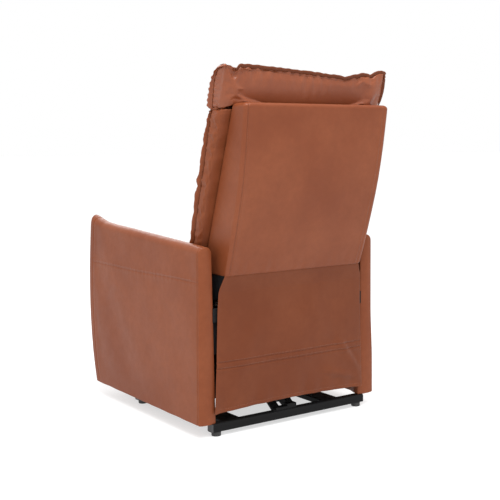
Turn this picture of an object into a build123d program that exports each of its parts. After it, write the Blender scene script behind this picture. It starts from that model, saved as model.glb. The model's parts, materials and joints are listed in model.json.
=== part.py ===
from build123d import *
from math import atan2, cos, degrees, hypot, radians, sin
import os

# Power lift recliner. Millimetres. The chair faces -Y, +X is the sitter's left, Z = 0 is the floor.
# Points written as pairs are (y, z) in the side view. "x0" and "x1" are a plate's two faces along X.

# Overall
WIDTH = 700
ARM_THICK = 46
ARM_INNER = WIDTH / 2 - ARM_THICK
ARM_FRONT = -434
ARM_REAR = 295
ARM_BOTTOM = 40
ARM_TOP_REAR = 583
ARM_TIP_Z = 636
ARM_PANEL_THICK = 18
ARM_PANEL_INSET = 30

# Base frame
RAIL_HALF = 305
RAIL_DEPTH = 30
RAIL_HEIGHT = 26
RAIL_WALL = 2
RAIL_CORNER = 4
FOOT_R = 15
FOOT_HEIGHT = 13
FOOT_X = 285
REAR_RAIL_Y = 288
FRONT_RAIL_Y = -169
SIDE_RAIL_X0 = 168
SIDE_RAIL_X1 = 238
SIDE_RAIL_Z0 = 10
SIDE_RAIL_Z1 = 28
CAP_THICK = 2

# Lift four-bar: base pivots A and B, chassis pivots C and D
LIFT_A = (-115.81, 58.08)
LIFT_B = (-56.97, 97.30)
LIFT_C = (121.50, 71.25)
LIFT_D = (258.35, 132.00)
EAR_X = (226, 232)
LIFT_LINK_X = (234, 240)
REAR_LINK_X = (218, 224)
LIFT_BRACKET_X = (242, 248)
LIFT_LINK_HALF = 14
TORQUE_TUBE_R = 13
TORQUE_TUBE_BORE = 10
LIFT_PIN_R = 6

# Footrest linkage, seen at rest: chassis pivots P0 and G, link pivots P1, M and N, board pivots P2 and R
FOOT_P0 = (-137.87, 339.78)
FOOT_P1 = (-152.75, 114.98)
FOOT_P2 = (-322.00, 290.00)
FOOT_G = (-197.33, 286.02)
FOOT_M = (-191.18, 101.35)
FOOT_N = (-154.87, 189.51)
FOOT_R_PIVOT = (-328.71, 363.38)
PLATE_X = (278, 282)
GUIDE_LINK_X = (272, 276)
FRONT_LINK_X = (266, 270)
UPPER_LINK_X = (260, 264)
LEVEL_LINK_X = (254, 258)
FOOT_BRACKET_X = (248, 252)
FOOT_LINK_HALF = 10
FOOT_PIN_R = 5
FOOT_CROSSBAR = (-144.50, 240.00)
FOOT_CROSSBAR_R = 10

# Backrest
BACK_PIVOT = (215, 385)
BACK_BRACKET_X = (252, 255.5)
BACK_FOOT = (192.5, 488)
BACK_LEAN = 19.57
BACK_LENGTH = 554
SHELL_HALF_BOTTOM = 271
SHELL_HALF_TOP = 284
SHELL_WALL = 5
SHELL_REAR = ((320, 490), (359, 608), (395, 733), (418, 839), (434, 944), (443.5, 1019))
POST_X = (232, 252)
POST_DEPTH = 36
BACK_CUSHION_HALF = 300
HEAD_CUSHION_HALF = 312

# Seat box
SEAT_BOARD_X = (282, 302)
SEAT_BOARD_Z = (250, 378)
SEAT_FRONT = -312
SEAT_TOP = 378
SEAT_REAR_RAIL_Y = (178, 196)
SKIRT_RAIL_Y = (288, 296)
SEAT_CUSHION_HALF = 299
SPRING_WIRE_R = 1.9
SPRING_COUNT = 5
SPRING_PITCH = 110
CROSS_TUBES = ((-80, 345), (40, 345), (175, 265))
CROSS_TUBE_R = 12.5
CROSS_TUBE_BORE = 10.5

# Footrest panel
FOOT_BOARD_Y = (-353, -341.5)
FOOT_PAD_FRONT = -425
FOOT_PAD_HALF = 297
FOOT_PAD_Z = (75, 386)

# Rear skirt
SKIRT_Y = (297, 303)
SKIRT_HALF = 297
SKIRT_Z = (68, 394)

# Actuators: tail pivot, rod end pivot, place along X, side of the motor, tube end, rod start, eye hole radius
ACTUATORS = {
    "lift": dict(tail=(235.17, 61.13), head=(-92.27, 128.30), x=-10, side=1, tube=270, rod=92, eye=13.6),
    "footrest": dict(tail=(120.92, 240.40), head=(-133.19, 311.70), x=130, side=1, tube=205, rod=92, eye=11.2),
    "recline": dict(tail=(-40.08, 279.97), head=(274.55, 332.11), x=-120, side=-1, tube=236, rod=136, eye=11.6),
}
GEARBOX = (56, 60, 52)
GEARBOX_START = 16
MOTOR_R = 22
MOTOR_LENGTH = 44
TUBE_R = 18
ROD_R = 10
ROD_CLEARANCE = 0.08
ROD_NECK = 20
TAIL_PIN_R = 5
EYE_THICK = 12
BACK_DRIVE_R = 8

# Running clearance on the radius of a hinge pin, and the wider hole of a linkage's open pivot
RUNNING = 0.05
OPEN_FOOT = 2.5
OPEN_LIFT = 1.2

# Control panel on the inner face of the right arm
PANEL_Y = (-300, -180)
PANEL_Z = (518, 554)
PANEL_THICK = 3.5
BUTTON_R = 7
BUTTON_PITCH = 27
BUTTONS = ("raise", "lower", "recline", "upright")


def plate(points, x0, x1):
    """Flat plate with a side-view outline, between two X faces."""
    return extrude(Plane.YZ.offset(x0) * Polygon(*points, align=None), x1 - x0)


def disc(centre, radius, x0, x1):
    """Round bar along X."""
    return extrude(Plane.YZ.offset(x0) * Pos(*centre) * Circle(radius), x1 - x0)


def bar(start, end, half, x0, x1):
    """Flat bar with round ends between two side-view points."""
    length = hypot(end[0] - start[0], end[1] - start[1])
    turn = degrees(atan2(end[1] - start[1], end[0] - start[0]))
    middle = ((start[0] + end[0]) / 2, (start[1] + end[1]) / 2)
    outline = Pos(*middle) * Rot(0, 0, turn) * SlotCenterToCenter(length, 2 * half)
    return extrude(Plane.YZ.offset(x0) * outline, x1 - x0)


def slab(x0, x1, y0, y1, z0, z1):
    """Rectangular block from its six faces."""
    middle = Pos((x0 + x1) / 2, (y0 + y1) / 2, (z0 + z1) / 2)
    return middle * Box(x1 - x0, y1 - y0, z1 - z0)


def both(*shapes):
    """The given left-hand solids and their right-hand copies."""
    return list(shapes) + [mirror(shape, about=Plane.YZ) for shape in shapes]


def back_point(along, inward):
    """Side-view point on the backrest's front plane: distance up the lean, and depth behind it."""
    lean = radians(BACK_LEAN)
    y = BACK_FOOT[0] + along * sin(lean) + inward * cos(lean)
    z = BACK_FOOT[1] + along * cos(lean) - inward * sin(lean)
    return (y, z)


def save(name, *shapes):
    """Write one sub-part: each shape stays a separate solid."""
    solids = [solid for shape in shapes for solid in shape.solids()]
    export_step(Compound(children=solids), f"parts/{name}.step")


# ---------------------------------------------------------------- base frame


def cross_rail(y):
    half_depth = RAIL_DEPTH / 2
    z0 = FOOT_HEIGHT
    z1 = FOOT_HEIGHT + RAIL_HEIGHT
    outer = slab(-RAIL_HALF, RAIL_HALF, y - half_depth, y + half_depth, z0, z1)
    outer = fillet(outer.edges().filter_by(Axis.X), RAIL_CORNER)
    bore = slab(
        -RAIL_HALF,
        RAIL_HALF,
        y - half_depth + RAIL_WALL,
        y + half_depth - RAIL_WALL,
        z0 + RAIL_WALL,
        z1 - RAIL_WALL,
    )
    return outer - bore


def rail_cap(y):
    half = RAIL_DEPTH / 2
    z0 = FOOT_HEIGHT
    z1 = FOOT_HEIGHT + RAIL_HEIGHT
    inset = RAIL_WALL
    face = slab(RAIL_HALF, RAIL_HALF + CAP_THICK, y - half, y + half, z0, z1)
    face = fillet(face.edges().filter_by(Axis.X), RAIL_CORNER)
    plug = slab(RAIL_HALF - 12, RAIL_HALF, y - half + inset, y + half - inset, z0 + inset, z1 - inset)
    return face + plug


def side_rail():
    y0 = FRONT_RAIL_Y + RAIL_DEPTH / 2
    y1 = REAR_RAIL_Y - RAIL_DEPTH / 2
    outer = slab(SIDE_RAIL_X0, SIDE_RAIL_X1, y0, y1, SIDE_RAIL_Z0, SIDE_RAIL_Z1)
    outer = fillet(outer.edges().filter_by(Axis.Y), 2.5)
    x0 = SIDE_RAIL_X0 + RAIL_WALL
    x1 = SIDE_RAIL_X1 - RAIL_WALL
    return outer - slab(x0, x1, y0, y1, SIDE_RAIL_Z0 + RAIL_WALL, SIDE_RAIL_Z1 - RAIL_WALL)


def foot(x, y):
    body = Pos(x, y, FOOT_HEIGHT / 2) * Cylinder(FOOT_R, FOOT_HEIGHT)
    return fillet(body.edges().group_by(Axis.Z)[0], 2)


def pivot_ear():
    outline = (
        (-146, SIDE_RAIL_Z1),
        (-18, SIDE_RAIL_Z1),
        (-36, 100),
        (-46, 116),
        (-68, 118),
        (-136, 78),
    )
    ear = plate(outline, *EAR_X)
    ear = fillet(ear.edges().filter_by(Axis.X).sort_by(Axis.Z)[-4:], 8)
    ear -= disc(LIFT_A, TORQUE_TUBE_R + RUNNING, *EAR_X)
    return ear - disc(LIFT_B, LIFT_PIN_R, *EAR_X)


def base_pivot_bolt():
    """Shoulder bolt from the ear's outer face to the rear link inside it; its low head clears the front link."""
    shank = disc(LIFT_B, LIFT_PIN_R, REAR_LINK_X[0] - 1.5, EAR_X[1])
    head = disc(LIFT_B, 10, EAR_X[1], EAR_X[1] + 1.6)
    collar = disc(LIFT_B, 9, REAR_LINK_X[1] + 0.5, EAR_X[0])
    return shank + head + collar


def tail_clevis(actuator, anchor, reach):
    """Two ears and a pin at an actuator's tail, tied back to an anchor point."""
    tail = actuator["tail"]
    pieces = []
    for side in (-1, 1):
        near = actuator["x"] + side * (EYE_THICK / 2 + 1.5)
        far = near + side * 5
        ear = bar(tail, anchor, 13, min(near, far), max(near, far))
        pieces.append(ear - disc(tail, TAIL_PIN_R, *sorted((near, far))) - reach)
    half = EYE_THICK / 2 + 1.5 + 5
    pieces.append(disc(tail, TAIL_PIN_R, actuator["x"] - half, actuator["x"] + half))
    return pieces


def clevis_seat():
    """Stepped block welded on the rear rail behind the clevis, and the sloping guard beside the motor."""
    front = REAR_RAIL_Y - RAIL_DEPTH / 2
    top = FOOT_HEIGHT + RAIL_HEIGHT
    lower = slab(-22, 60, front, front + 23, top, top + 9)
    upper = slab(-22, 14, front, front + 23, top + 9, top + 16)
    guard = ((front + 23, top), (front + 9, top), (front - 39, top + 34), (front - 32, top + 34))
    return [lower + upper, plate(guard, 68, 100)]


# ---------------------------------------------------------------- lift linkage


def front_lift_link():
    link = bar(LIFT_A, LIFT_C, LIFT_LINK_HALF, *LIFT_LINK_X) + disc(LIFT_A, 20, *LIFT_LINK_X)
    link -= disc(LIFT_A, TORQUE_TUBE_R, *LIFT_LINK_X)
    return link - disc(LIFT_C, LIFT_PIN_R + RUNNING, *LIFT_LINK_X)


def rear_lift_link():
    link = bar(LIFT_B, LIFT_D, LIFT_LINK_HALF, *REAR_LINK_X)
    link -= disc(LIFT_B, LIFT_PIN_R + RUNNING, *REAR_LINK_X)
    return link - disc(LIFT_D, LIFT_PIN_R + OPEN_LIFT, *REAR_LINK_X)


def torque_tube():
    end = LIFT_LINK_X[1] + 1.5
    return disc(LIFT_A, TORQUE_TUBE_R, -end, end) - disc(LIFT_A, TORQUE_TUBE_BORE, -end, end)


def drive_lever(root, root_r, actuator):
    """Two ears from a tube to an actuator's rod end, and the pin between them."""
    head = actuator["head"]
    pieces = []
    for side in (-1, 1):
        near = actuator["x"] + side * (EYE_THICK / 2 + 1.5)
        far = near + side * 5
        faces = sorted((near, far))
        ear = bar(root, head, 12, *faces) + disc(root, root_r + 6, *faces)
        pieces.append(ear - disc(root, root_r, *faces) - disc(head, TAIL_PIN_R, *faces))
    half = EYE_THICK / 2 + 1.5 + 5
    pieces.append(disc(head, TAIL_PIN_R, actuator["x"] - half, actuator["x"] + half))
    return pieces


def lift_bracket():
    outline = (
        (104, 64),
        (122, 54),
        (142, 56),
        (270, 116),
        (276, 138),
        (196, 296),
        (62, 364),
        (20, 360),
        (24, 326),
        (100, 200),
    )
    body = plate(outline, *LIFT_BRACKET_X)
    body = fillet(body.edges().filter_by(Axis.X), 7)
    for tube in CROSS_TUBES[1:]:
        body -= disc(tube, CROSS_TUBE_R, *LIFT_BRACKET_X)
    for pivot in (LIFT_C, LIFT_D):
        body -= disc(pivot, LIFT_PIN_R, *LIFT_BRACKET_X)
    return body


def lift_bracket_pin(pivot, link_x):
    """Pin through a lift link, with a spacer collar between the link and the bracket."""
    shank = disc(pivot, LIFT_PIN_R, link_x[0] - 1.5, LIFT_BRACKET_X[1])
    collar = disc(pivot, 10, link_x[1] + 0.5, LIFT_BRACKET_X[0])
    head = disc(pivot, 10, LIFT_BRACKET_X[1], LIFT_BRACKET_X[1] + 3)
    return shank + collar + head


# ---------------------------------------------------------------- chassis and seat box


def chassis_plate():
    outline = (
        (-214, 272),
        (-186, 266),
        (150, 262),
        (165, 246),
        (228, 250),
        (234, 398),
        (222, 404),
        (198, 398),
        (182, 366),
        (-150, 362),
        (-214, 302),
    )
    body = plate(outline, *PLATE_X)
    for pivot, radius in ((FOOT_P0, FOOT_PIN_R), (FOOT_G, FOOT_PIN_R), (BACK_PIVOT, LIFT_PIN_R)):
        body -= disc(pivot, radius, *PLATE_X)
    for hole in CHASSIS_SCREW_POINTS:
        body -= disc(hole, 3, *PLATE_X)
    return body


CHASSIS_SCREW_POINTS = ((-90, 296), (20, 296), (110, 296), (200, 296))
ARM_BOLT_POINTS = ((-276, 296), (-276, 350), (248, 296), (248, 340))


def chassis_screw(point):
    head = disc(point, 6, PLATE_X[0] - 3, PLATE_X[0])
    return head + disc(point, 3, PLATE_X[0], SEAT_BOARD_X[0] + 16)


def arm_bolt(point):
    head = disc(point, 8, SEAT_BOARD_X[0] - 5, SEAT_BOARD_X[0])
    return head + disc(point, 4, SEAT_BOARD_X[0], ARM_PANEL_X[1])


def cross_tube(centre):
    half = PLATE_X[0]
    return disc(centre, CROSS_TUBE_R, -half, half) - disc(centre, CROSS_TUBE_BORE, -half, half)


def footrest_chassis_pin(pivot, inner, collar_inner):
    shank = disc(pivot, FOOT_PIN_R, inner, PLATE_X[1])
    return shank + disc(pivot, 8, collar_inner, PLATE_X[0])


def back_pivot_bolt():
    shank = disc(BACK_PIVOT, LIFT_PIN_R, BACK_BRACKET_X[0] - 1, PLATE_X[1])
    collar = disc(BACK_PIVOT, 10, BACK_BRACKET_X[1] + 0.5, PLATE_X[0])
    return shank + collar


def seat_side_board():
    body = slab(*SEAT_BOARD_X, SEAT_FRONT, SKIRT_RAIL_Y[0], *SEAT_BOARD_Z)
    for hole in CHASSIS_SCREW_POINTS:
        body -= disc(hole, 3, SEAT_BOARD_X[0], SEAT_BOARD_X[0] + 16)
    for hole in ARM_BOLT_POINTS:
        body -= disc(hole, 4, *SEAT_BOARD_X)
    return body


def seat_cross_rails():
    """Front rail, the apron under it between the footrest links, rear rail, and the rail that carries the skirt."""
    inner = SEAT_BOARD_X[0]
    front = slab(-inner, inner, SEAT_FRONT, SEAT_FRONT + 20, SEAT_TOP - 16, SEAT_TOP)
    apron = slab(-238, 238, SEAT_FRONT, SEAT_FRONT + 20, 300, SEAT_TOP - 16)
    rear = slab(-PLATE_X[0], PLATE_X[0], *SEAT_REAR_RAIL_Y, 340, SEAT_TOP)
    skirt_rail = slab(-SEAT_BOARD_X[1], SEAT_BOARD_X[1], *SKIRT_RAIL_Y, 350, 392)
    return [front, apron, rear, skirt_rail]


def zigzag_spring(x):
    """One sinuous spring from the front rail to the rear rail: straight rungs joined by round bends."""
    y0 = SEAT_FRONT + 14
    y1 = SEAT_REAR_RAIL_Y[1] - 8
    rungs = 18
    step = (y1 - y0) / rungs
    z = SEAT_TOP + SPRING_WIRE_R
    points = [(x - 16, y0, z)]
    for rung in range(rungs):
        side = 20 if rung % 2 == 0 else -20
        points.append((x + side, y0 + rung * step, z))
        points.append((x + side, y0 + (rung + 1) * step, z))
    points.append((x + 16, y1, z))
    path = FilletPolyline(*points, radius=12)
    return sweep(Plane(origin=path @ 0, z_dir=path % 0) * Circle(SPRING_WIRE_R), path=path)


def spring_clip(x, y):
    body = slab(x - 9, x + 9, y - 5, y + 5, SEAT_TOP, SEAT_TOP + 5.6)
    tunnel = slab(x - 9, x + 9, y - 3.4, y + 3.4, SEAT_TOP, SEAT_TOP + 4.2)
    return body - tunnel


def spring_x(index):
    return (index - (SPRING_COUNT - 1) / 2) * SPRING_PITCH


def seat_cushion():
    outline = (
        (184, 384),
        (184, 456),
        (120, 461),
        (-240, 465),
        (-402, 462),
        (-428, 442),
        (-428, 404),
        (-318, 404),
        (-318, 384),
    )
    body = plate(outline, -SEAT_CUSHION_HALF, SEAT_CUSHION_HALF)
    return fillet(body.edges().filter_by(Axis.X).sort_by(Axis.Y)[:3], 9)


def control_box():
    body = slab(-58, 58, 72, 164, 336, 368)
    body = fillet(body.edges().filter_by(Axis.Z), 6)
    return body - disc((118, 352), 6, 44, 58)


def power_inlet():
    """Round low-voltage socket in the end of the control box."""
    barrel = disc((118, 352), 6, 46, 60) - disc((118, 352), 3.2, 50, 60)
    flange = disc((118, 352), 9, 58, 60) - disc((118, 352), 3.2, 58, 60)
    centre_pin = disc((118, 352), 0.9, 50, 58)
    return barrel + flange + centre_pin


# ---------------------------------------------------------------- arms


ARM_PANEL_X = (ARM_INNER + (ARM_THICK - ARM_PANEL_THICK) / 2, WIDTH / 2 - (ARM_THICK - ARM_PANEL_THICK) / 2)


def arm_body():
    """Padded arm: straight foot and rear, bowed front, top edge sweeping up to a point at the front."""
    rear_bottom = (ARM_REAR, ARM_BOTTOM)
    rear_top = (ARM_REAR, ARM_TOP_REAR)
    tip = (ARM_FRONT, ARM_TIP_Z)
    front_bottom = (-392, ARM_BOTTOM)
    rear_edge = Line(rear_bottom, rear_top)
    top_edge = Spline(rear_top, (25, 597), (-168, 607), (-345, 616), tip)
    front_edge = ThreePointArc(tip, (-443.5, 400), front_bottom)
    foot_edge = Line(front_bottom, rear_bottom)
    outline = make_face(Curve() + [rear_edge, top_edge, front_edge, foot_edge])
    body = extrude(Plane.YZ.offset(ARM_INNER) * outline, ARM_THICK)
    corners = body.edges().filter_by(Axis.X).sort_by(Axis.Z)
    return fillet(corners[:2], 6)


def arm_panel():
    inset = ARM_PANEL_INSET
    outline = (
        (ARM_REAR - inset, ARM_BOTTOM + inset),
        (ARM_REAR - inset, ARM_TOP_REAR - inset),
        (ARM_FRONT + 2 * inset, ARM_TOP_REAR - 5),
        (-380 + inset, ARM_BOTTOM + inset),
    )
    return plate(outline, *ARM_PANEL_X)


def arm_cover(body, panel):
    cover = body - panel
    for hole in ARM_BOLT_POINTS:
        cover -= disc(hole, 4, ARM_INNER, ARM_PANEL_X[0])
    return cover


def drilled_arm_panel():
    panel = arm_panel()
    for hole in ARM_BOLT_POINTS:
        panel -= disc(hole, 4, *ARM_PANEL_X)
    return panel


def button_y(index):
    middle = (PANEL_Y[0] + PANEL_Y[1]) / 2
    return middle + (index - (len(BUTTONS) - 1) / 2) * BUTTON_PITCH


def panel_pocket():
    return slab(-ARM_INNER - 11, -ARM_INNER, PANEL_Y[0] + 6, PANEL_Y[1] - 6, PANEL_Z[0] + 6, PANEL_Z[1] - 6)


def control_panel():
    body = slab(-ARM_INNER, -ARM_INNER + PANEL_THICK, *PANEL_Y, *PANEL_Z)
    body = fillet(body.edges().filter_by(Axis.X), 8)
    middle_z = (PANEL_Z[0] + PANEL_Z[1]) / 2
    for index in range(len(BUTTONS)):
        centre = (button_y(index), middle_z)
        body -= disc(centre, BUTTON_R + 0.3, -ARM_INNER, -ARM_INNER + PANEL_THICK)
    return body


def button(index):
    centre = (button_y(index), (PANEL_Z[0] + PANEL_Z[1]) / 2)
    face = -ARM_INNER + PANEL_THICK + 1.5
    stem = disc(centre, BUTTON_R, -ARM_INNER - 6, face)
    stem = fillet(stem.edges().sort_by(Axis.X)[-1], 1)
    return stem + disc(centre, BUTTON_R + 2, -ARM_INNER - 4, -ARM_INNER - 1)


def label_tag():
    return slab(-WIDTH / 2 - 8, -WIDTH / 2, 262, 263.2, 145, 181)


# ---------------------------------------------------------------- backrest


def wedge(rear, front_top, front_bottom, half_bottom, half_top):
    """Backrest box: wedge with a bowed rear face in side view, slightly wider at the top."""
    side = plate((front_bottom, *rear, front_top), -400, 400)
    z0 = min(front_bottom[1], rear[0][1])
    z1 = max(front_top[1], rear[-1][1])
    face = Polygon((-half_bottom, z0), (half_bottom, z0), (half_top, z1), (-half_top, z1), align=None)
    front_view = extrude(Plane.XZ * face, 600, both=True)
    return side & front_view


def back_shell():
    """Upholstered rear cover of the backrest, open towards the cushions and at the bottom."""
    front_bottom = back_point(0, 0)
    front_top = back_point(BACK_LENGTH, 0)
    outer = wedge(SHELL_REAR, front_top, front_bottom, SHELL_HALF_BOTTOM, SHELL_HALF_TOP)
    wall = SHELL_WALL
    inner_rear = [(y - wall, z) for y, z in SHELL_REAR[1:-1]]
    inner_bottom = (SHELL_REAR[0][0] - wall - 6, SHELL_REAR[0][1] - 30)
    inner_top = (SHELL_REAR[-1][0] - wall, SHELL_REAR[-1][1] - wall)
    inner = wedge(
        (inner_bottom, *inner_rear, inner_top),
        (front_top[0] - 12, front_top[1] - wall),
        (front_bottom[0] - 30, front_bottom[1] - 30),
        SHELL_HALF_BOTTOM - wall - 0.4,
        SHELL_HALF_TOP - wall,
    )
    return outer - inner


def back_frame():
    """Two timber posts and three rails."""
    corners = [back_point(6, 0.2), back_point(6, POST_DEPTH), back_point(535, POST_DEPTH), back_point(535, 0.2)]
    pieces = both(plate(corners, *POST_X))
    for along in (20, 255, 480):
        rail = [back_point(along, 4), back_point(along, 24), back_point(along + 50, 24), back_point(along + 50, 4)]
        pieces.append(plate(rail, -POST_X[0], POST_X[0]))
    return pieces


def back_strap(along):
    corners = [back_point(along, -2), back_point(along, 0), back_point(along + 50, 0), back_point(along + 50, -2)]
    return plate(corners, -POST_X[1], POST_X[1])


def back_cushion():
    outline = (
        back_point(-6, -3),
        back_point(543, -3),
        (263, 985),
        (199, 785),
        (118, 590),
        (96, 484),
    )
    body = plate(outline, -BACK_CUSHION_HALF, BACK_CUSHION_HALF)
    return fillet(body.edges().filter_by(Axis.X).sort_by(Axis.Y)[:1], 16)


def head_cushion():
    outline = (
        back_point(544, -3),
        back_point(554, -3),
        (384, 1014),
        (396, 1066),
        (401, 1116),
        (391, 1126),
        (318, 1115),
        (290, 1073),
        (267, 1012),
        (263, 986),
    )
    return plate(outline, -HEAD_CUSHION_HALF, HEAD_CUSHION_HALF)


def back_bracket():
    head = ACTUATORS["recline"]["head"]
    leg = bar(BACK_PIVOT, back_point(120, 18), 16, *BACK_BRACKET_X)
    arm = bar(BACK_PIVOT, head, 12, *BACK_BRACKET_X)
    body = leg + arm
    body -= disc(BACK_PIVOT, LIFT_PIN_R + RUNNING, *BACK_BRACKET_X)
    return body - disc(head, BACK_DRIVE_R, *BACK_BRACKET_X)


def back_drive_tube():
    end = BACK_BRACKET_X[1]
    head = ACTUATORS["recline"]["head"]
    return disc(head, BACK_DRIVE_R, -end, end) - disc(head, BACK_DRIVE_R - 2.5, -end, end)


# ---------------------------------------------------------------- footrest


def front_link():
    body = bar(FOOT_P0, FOOT_P1, FOOT_LINK_HALF + 1, *FRONT_LINK_X)
    body -= disc(FOOT_P0, FOOT_PIN_R + RUNNING, *FRONT_LINK_X)
    body -= disc(FOOT_P1, FOOT_PIN_R, *FRONT_LINK_X)
    body -= disc(FOOT_N, FOOT_PIN_R, *FRONT_LINK_X)
    pin_main = disc(FOOT_P1, FOOT_PIN_R, UPPER_LINK_X[0] - 1, FRONT_LINK_X[1])
    pin_level = disc(FOOT_N, FOOT_PIN_R, LEVEL_LINK_X[0] - 1, FRONT_LINK_X[1])
    return [body, pin_main, pin_level]


def crossbar():
    end = FRONT_LINK_X[0]
    tube = disc(FOOT_CROSSBAR, FOOT_CROSSBAR_R, -end, end)
    return tube - disc(FOOT_CROSSBAR, FOOT_CROSSBAR_R - 2.5, -end, end)


def upper_link():
    body = bar(FOOT_P1, FOOT_P2, FOOT_LINK_HALF, *UPPER_LINK_X) + bar(FOOT_P1, FOOT_M, 11, *UPPER_LINK_X)
    body -= disc(FOOT_P1, FOOT_PIN_R + RUNNING, *UPPER_LINK_X)
    body -= disc(FOOT_P2, FOOT_PIN_R + RUNNING, *UPPER_LINK_X)
    body -= disc(FOOT_M, FOOT_PIN_R, *UPPER_LINK_X)
    return [body, disc(FOOT_M, FOOT_PIN_R, UPPER_LINK_X[0], GUIDE_LINK_X[1] + 0.5)]


def guide_link():
    body = bar(FOOT_G, FOOT_M, FOOT_LINK_HALF, *GUIDE_LINK_X) + disc(FOOT_M, 13, *GUIDE_LINK_X)
    body -= disc(FOOT_G, FOOT_PIN_R + RUNNING, *GUIDE_LINK_X)
    return body - disc(FOOT_M, FOOT_PIN_R + OPEN_FOOT, *GUIDE_LINK_X)


def level_link():
    body = bar(FOOT_N, FOOT_R_PIVOT, FOOT_LINK_HALF, *LEVEL_LINK_X)
    body -= disc(FOOT_N, FOOT_PIN_R + RUNNING, *LEVEL_LINK_X)
    return body - disc(FOOT_R_PIVOT, FOOT_PIN_R + OPEN_FOOT, *LEVEL_LINK_X)


def foot_bracket():
    y0 = FOOT_BOARD_Y[1]
    outline = ((y0, 268), (y0 + 26, 268), (y0 + 31, 290), (y0 + 24, 374), (y0, 382))
    body = plate(outline, *FOOT_BRACKET_X)
    body -= disc(FOOT_P2, FOOT_PIN_R, *FOOT_BRACKET_X)
    body -= disc(FOOT_R_PIVOT, FOOT_PIN_R, *FOOT_BRACKET_X)
    tab = slab(FOOT_BRACKET_X[0] - 22, FOOT_BRACKET_X[0], y0, y0 + 4, 268, 382)
    pin_main = disc(FOOT_P2, FOOT_PIN_R, FOOT_BRACKET_X[0], UPPER_LINK_X[1] + 0.5)
    pin_level = disc(FOOT_R_PIVOT, FOOT_PIN_R, FOOT_BRACKET_X[0], LEVEL_LINK_X[1] + 0.5)
    return [body + tab, pin_main, pin_level]


def foot_pad():
    pad = slab(-FOOT_PAD_HALF, FOOT_PAD_HALF, FOOT_PAD_FRONT, FOOT_BOARD_Y[0] - 0.3, *FOOT_PAD_Z)
    front = pad.faces().sort_by(Axis.Y)[0]
    return fillet(front.edges(), 20)


# ---------------------------------------------------------------- actuators


def place(actuator, shape):
    """Move a shape built along +Y from the tail pivot to the actuator's place."""
    tail = actuator["tail"]
    head = actuator["head"]
    turn = degrees(atan2(head[1] - tail[1], head[0] - tail[0]))
    return Pos(actuator["x"], *tail) * Rot(turn, 0, 0) * shape


def actuator_length(actuator):
    tail = actuator["tail"]
    head = actuator["head"]
    return hypot(head[0] - tail[0], head[1] - tail[1])


def actuator_motor(actuator):
    """Tail eye, gearbox and the motor set across it."""
    half = EYE_THICK / 2
    eye = disc((0, 0), 12, -half, half) + slab(-half, half, 0, GEARBOX_START, -10, 10)
    eye -= disc((0, 0), TAIL_PIN_R + RUNNING, -half, half)
    width, depth, height = GEARBOX
    gearbox = slab(-width / 2, width / 2, GEARBOX_START, GEARBOX_START + depth, -height / 2, height / 2)
    gearbox = fillet(gearbox.edges(), 5)
    middle = GEARBOX_START + depth / 2
    inner = width / 2 - 4
    outer = width / 2 + MOTOR_LENGTH
    motor = disc((middle, 0), MOTOR_R, inner, outer)
    motor = fillet(motor.edges().sort_by(Axis.X)[-1], 9)
    if actuator["side"] < 0:
        motor = mirror(motor, about=Plane.YZ)
    return place(actuator, eye + gearbox + motor)


def along_tube(radius, y0, y1):
    return Pos(0, (y0 + y1) / 2, 0) * Rot(90, 0, 0) * Cylinder(radius, y1 - y0)


def actuator_tube(actuator):
    start = GEARBOX_START + GEARBOX[1]
    tube = along_tube(TUBE_R, start, actuator["tube"])
    bore = along_tube(ROD_R + ROD_CLEARANCE, start, actuator["tube"])
    return place(actuator, tube - bore)


def actuator_rod(actuator):
    """Rod with the eye at its head; the eye's hole is wide because that pivot is the loop's open one."""
    length = actuator_length(actuator)
    eye_r = actuator["eye"] + 5.5
    half = EYE_THICK / 2
    rod = along_tube(ROD_R, actuator["rod"], length - eye_r - ROD_NECK)
    neck = slab(-half, half, length - eye_r - ROD_NECK - 3, length, -7, 7)
    eye = disc((length, 0), eye_r, -half, half)
    return place(actuator, (rod + neck + eye) - disc((length, 0), actuator["eye"], -half, half))


def motor_lead():
    """Lead clipped along the lift actuator: out of the gearbox, in one low loop, to its in-line connector."""
    out = ((-31, 219.7, 64.3), (-33, 246, 58.9), (-35, 248, 32), (-58, 224, 27))
    back = ((-74, 186, 60), (-64, 160, 80), (-44, 142, 92), (-38, 116, 99))
    path = FilletPolyline(*out, *back, radius=9)
    return sweep(Plane(origin=path @ 0, z_dir=path % 0) * Circle(2.6), path=path)


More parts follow.
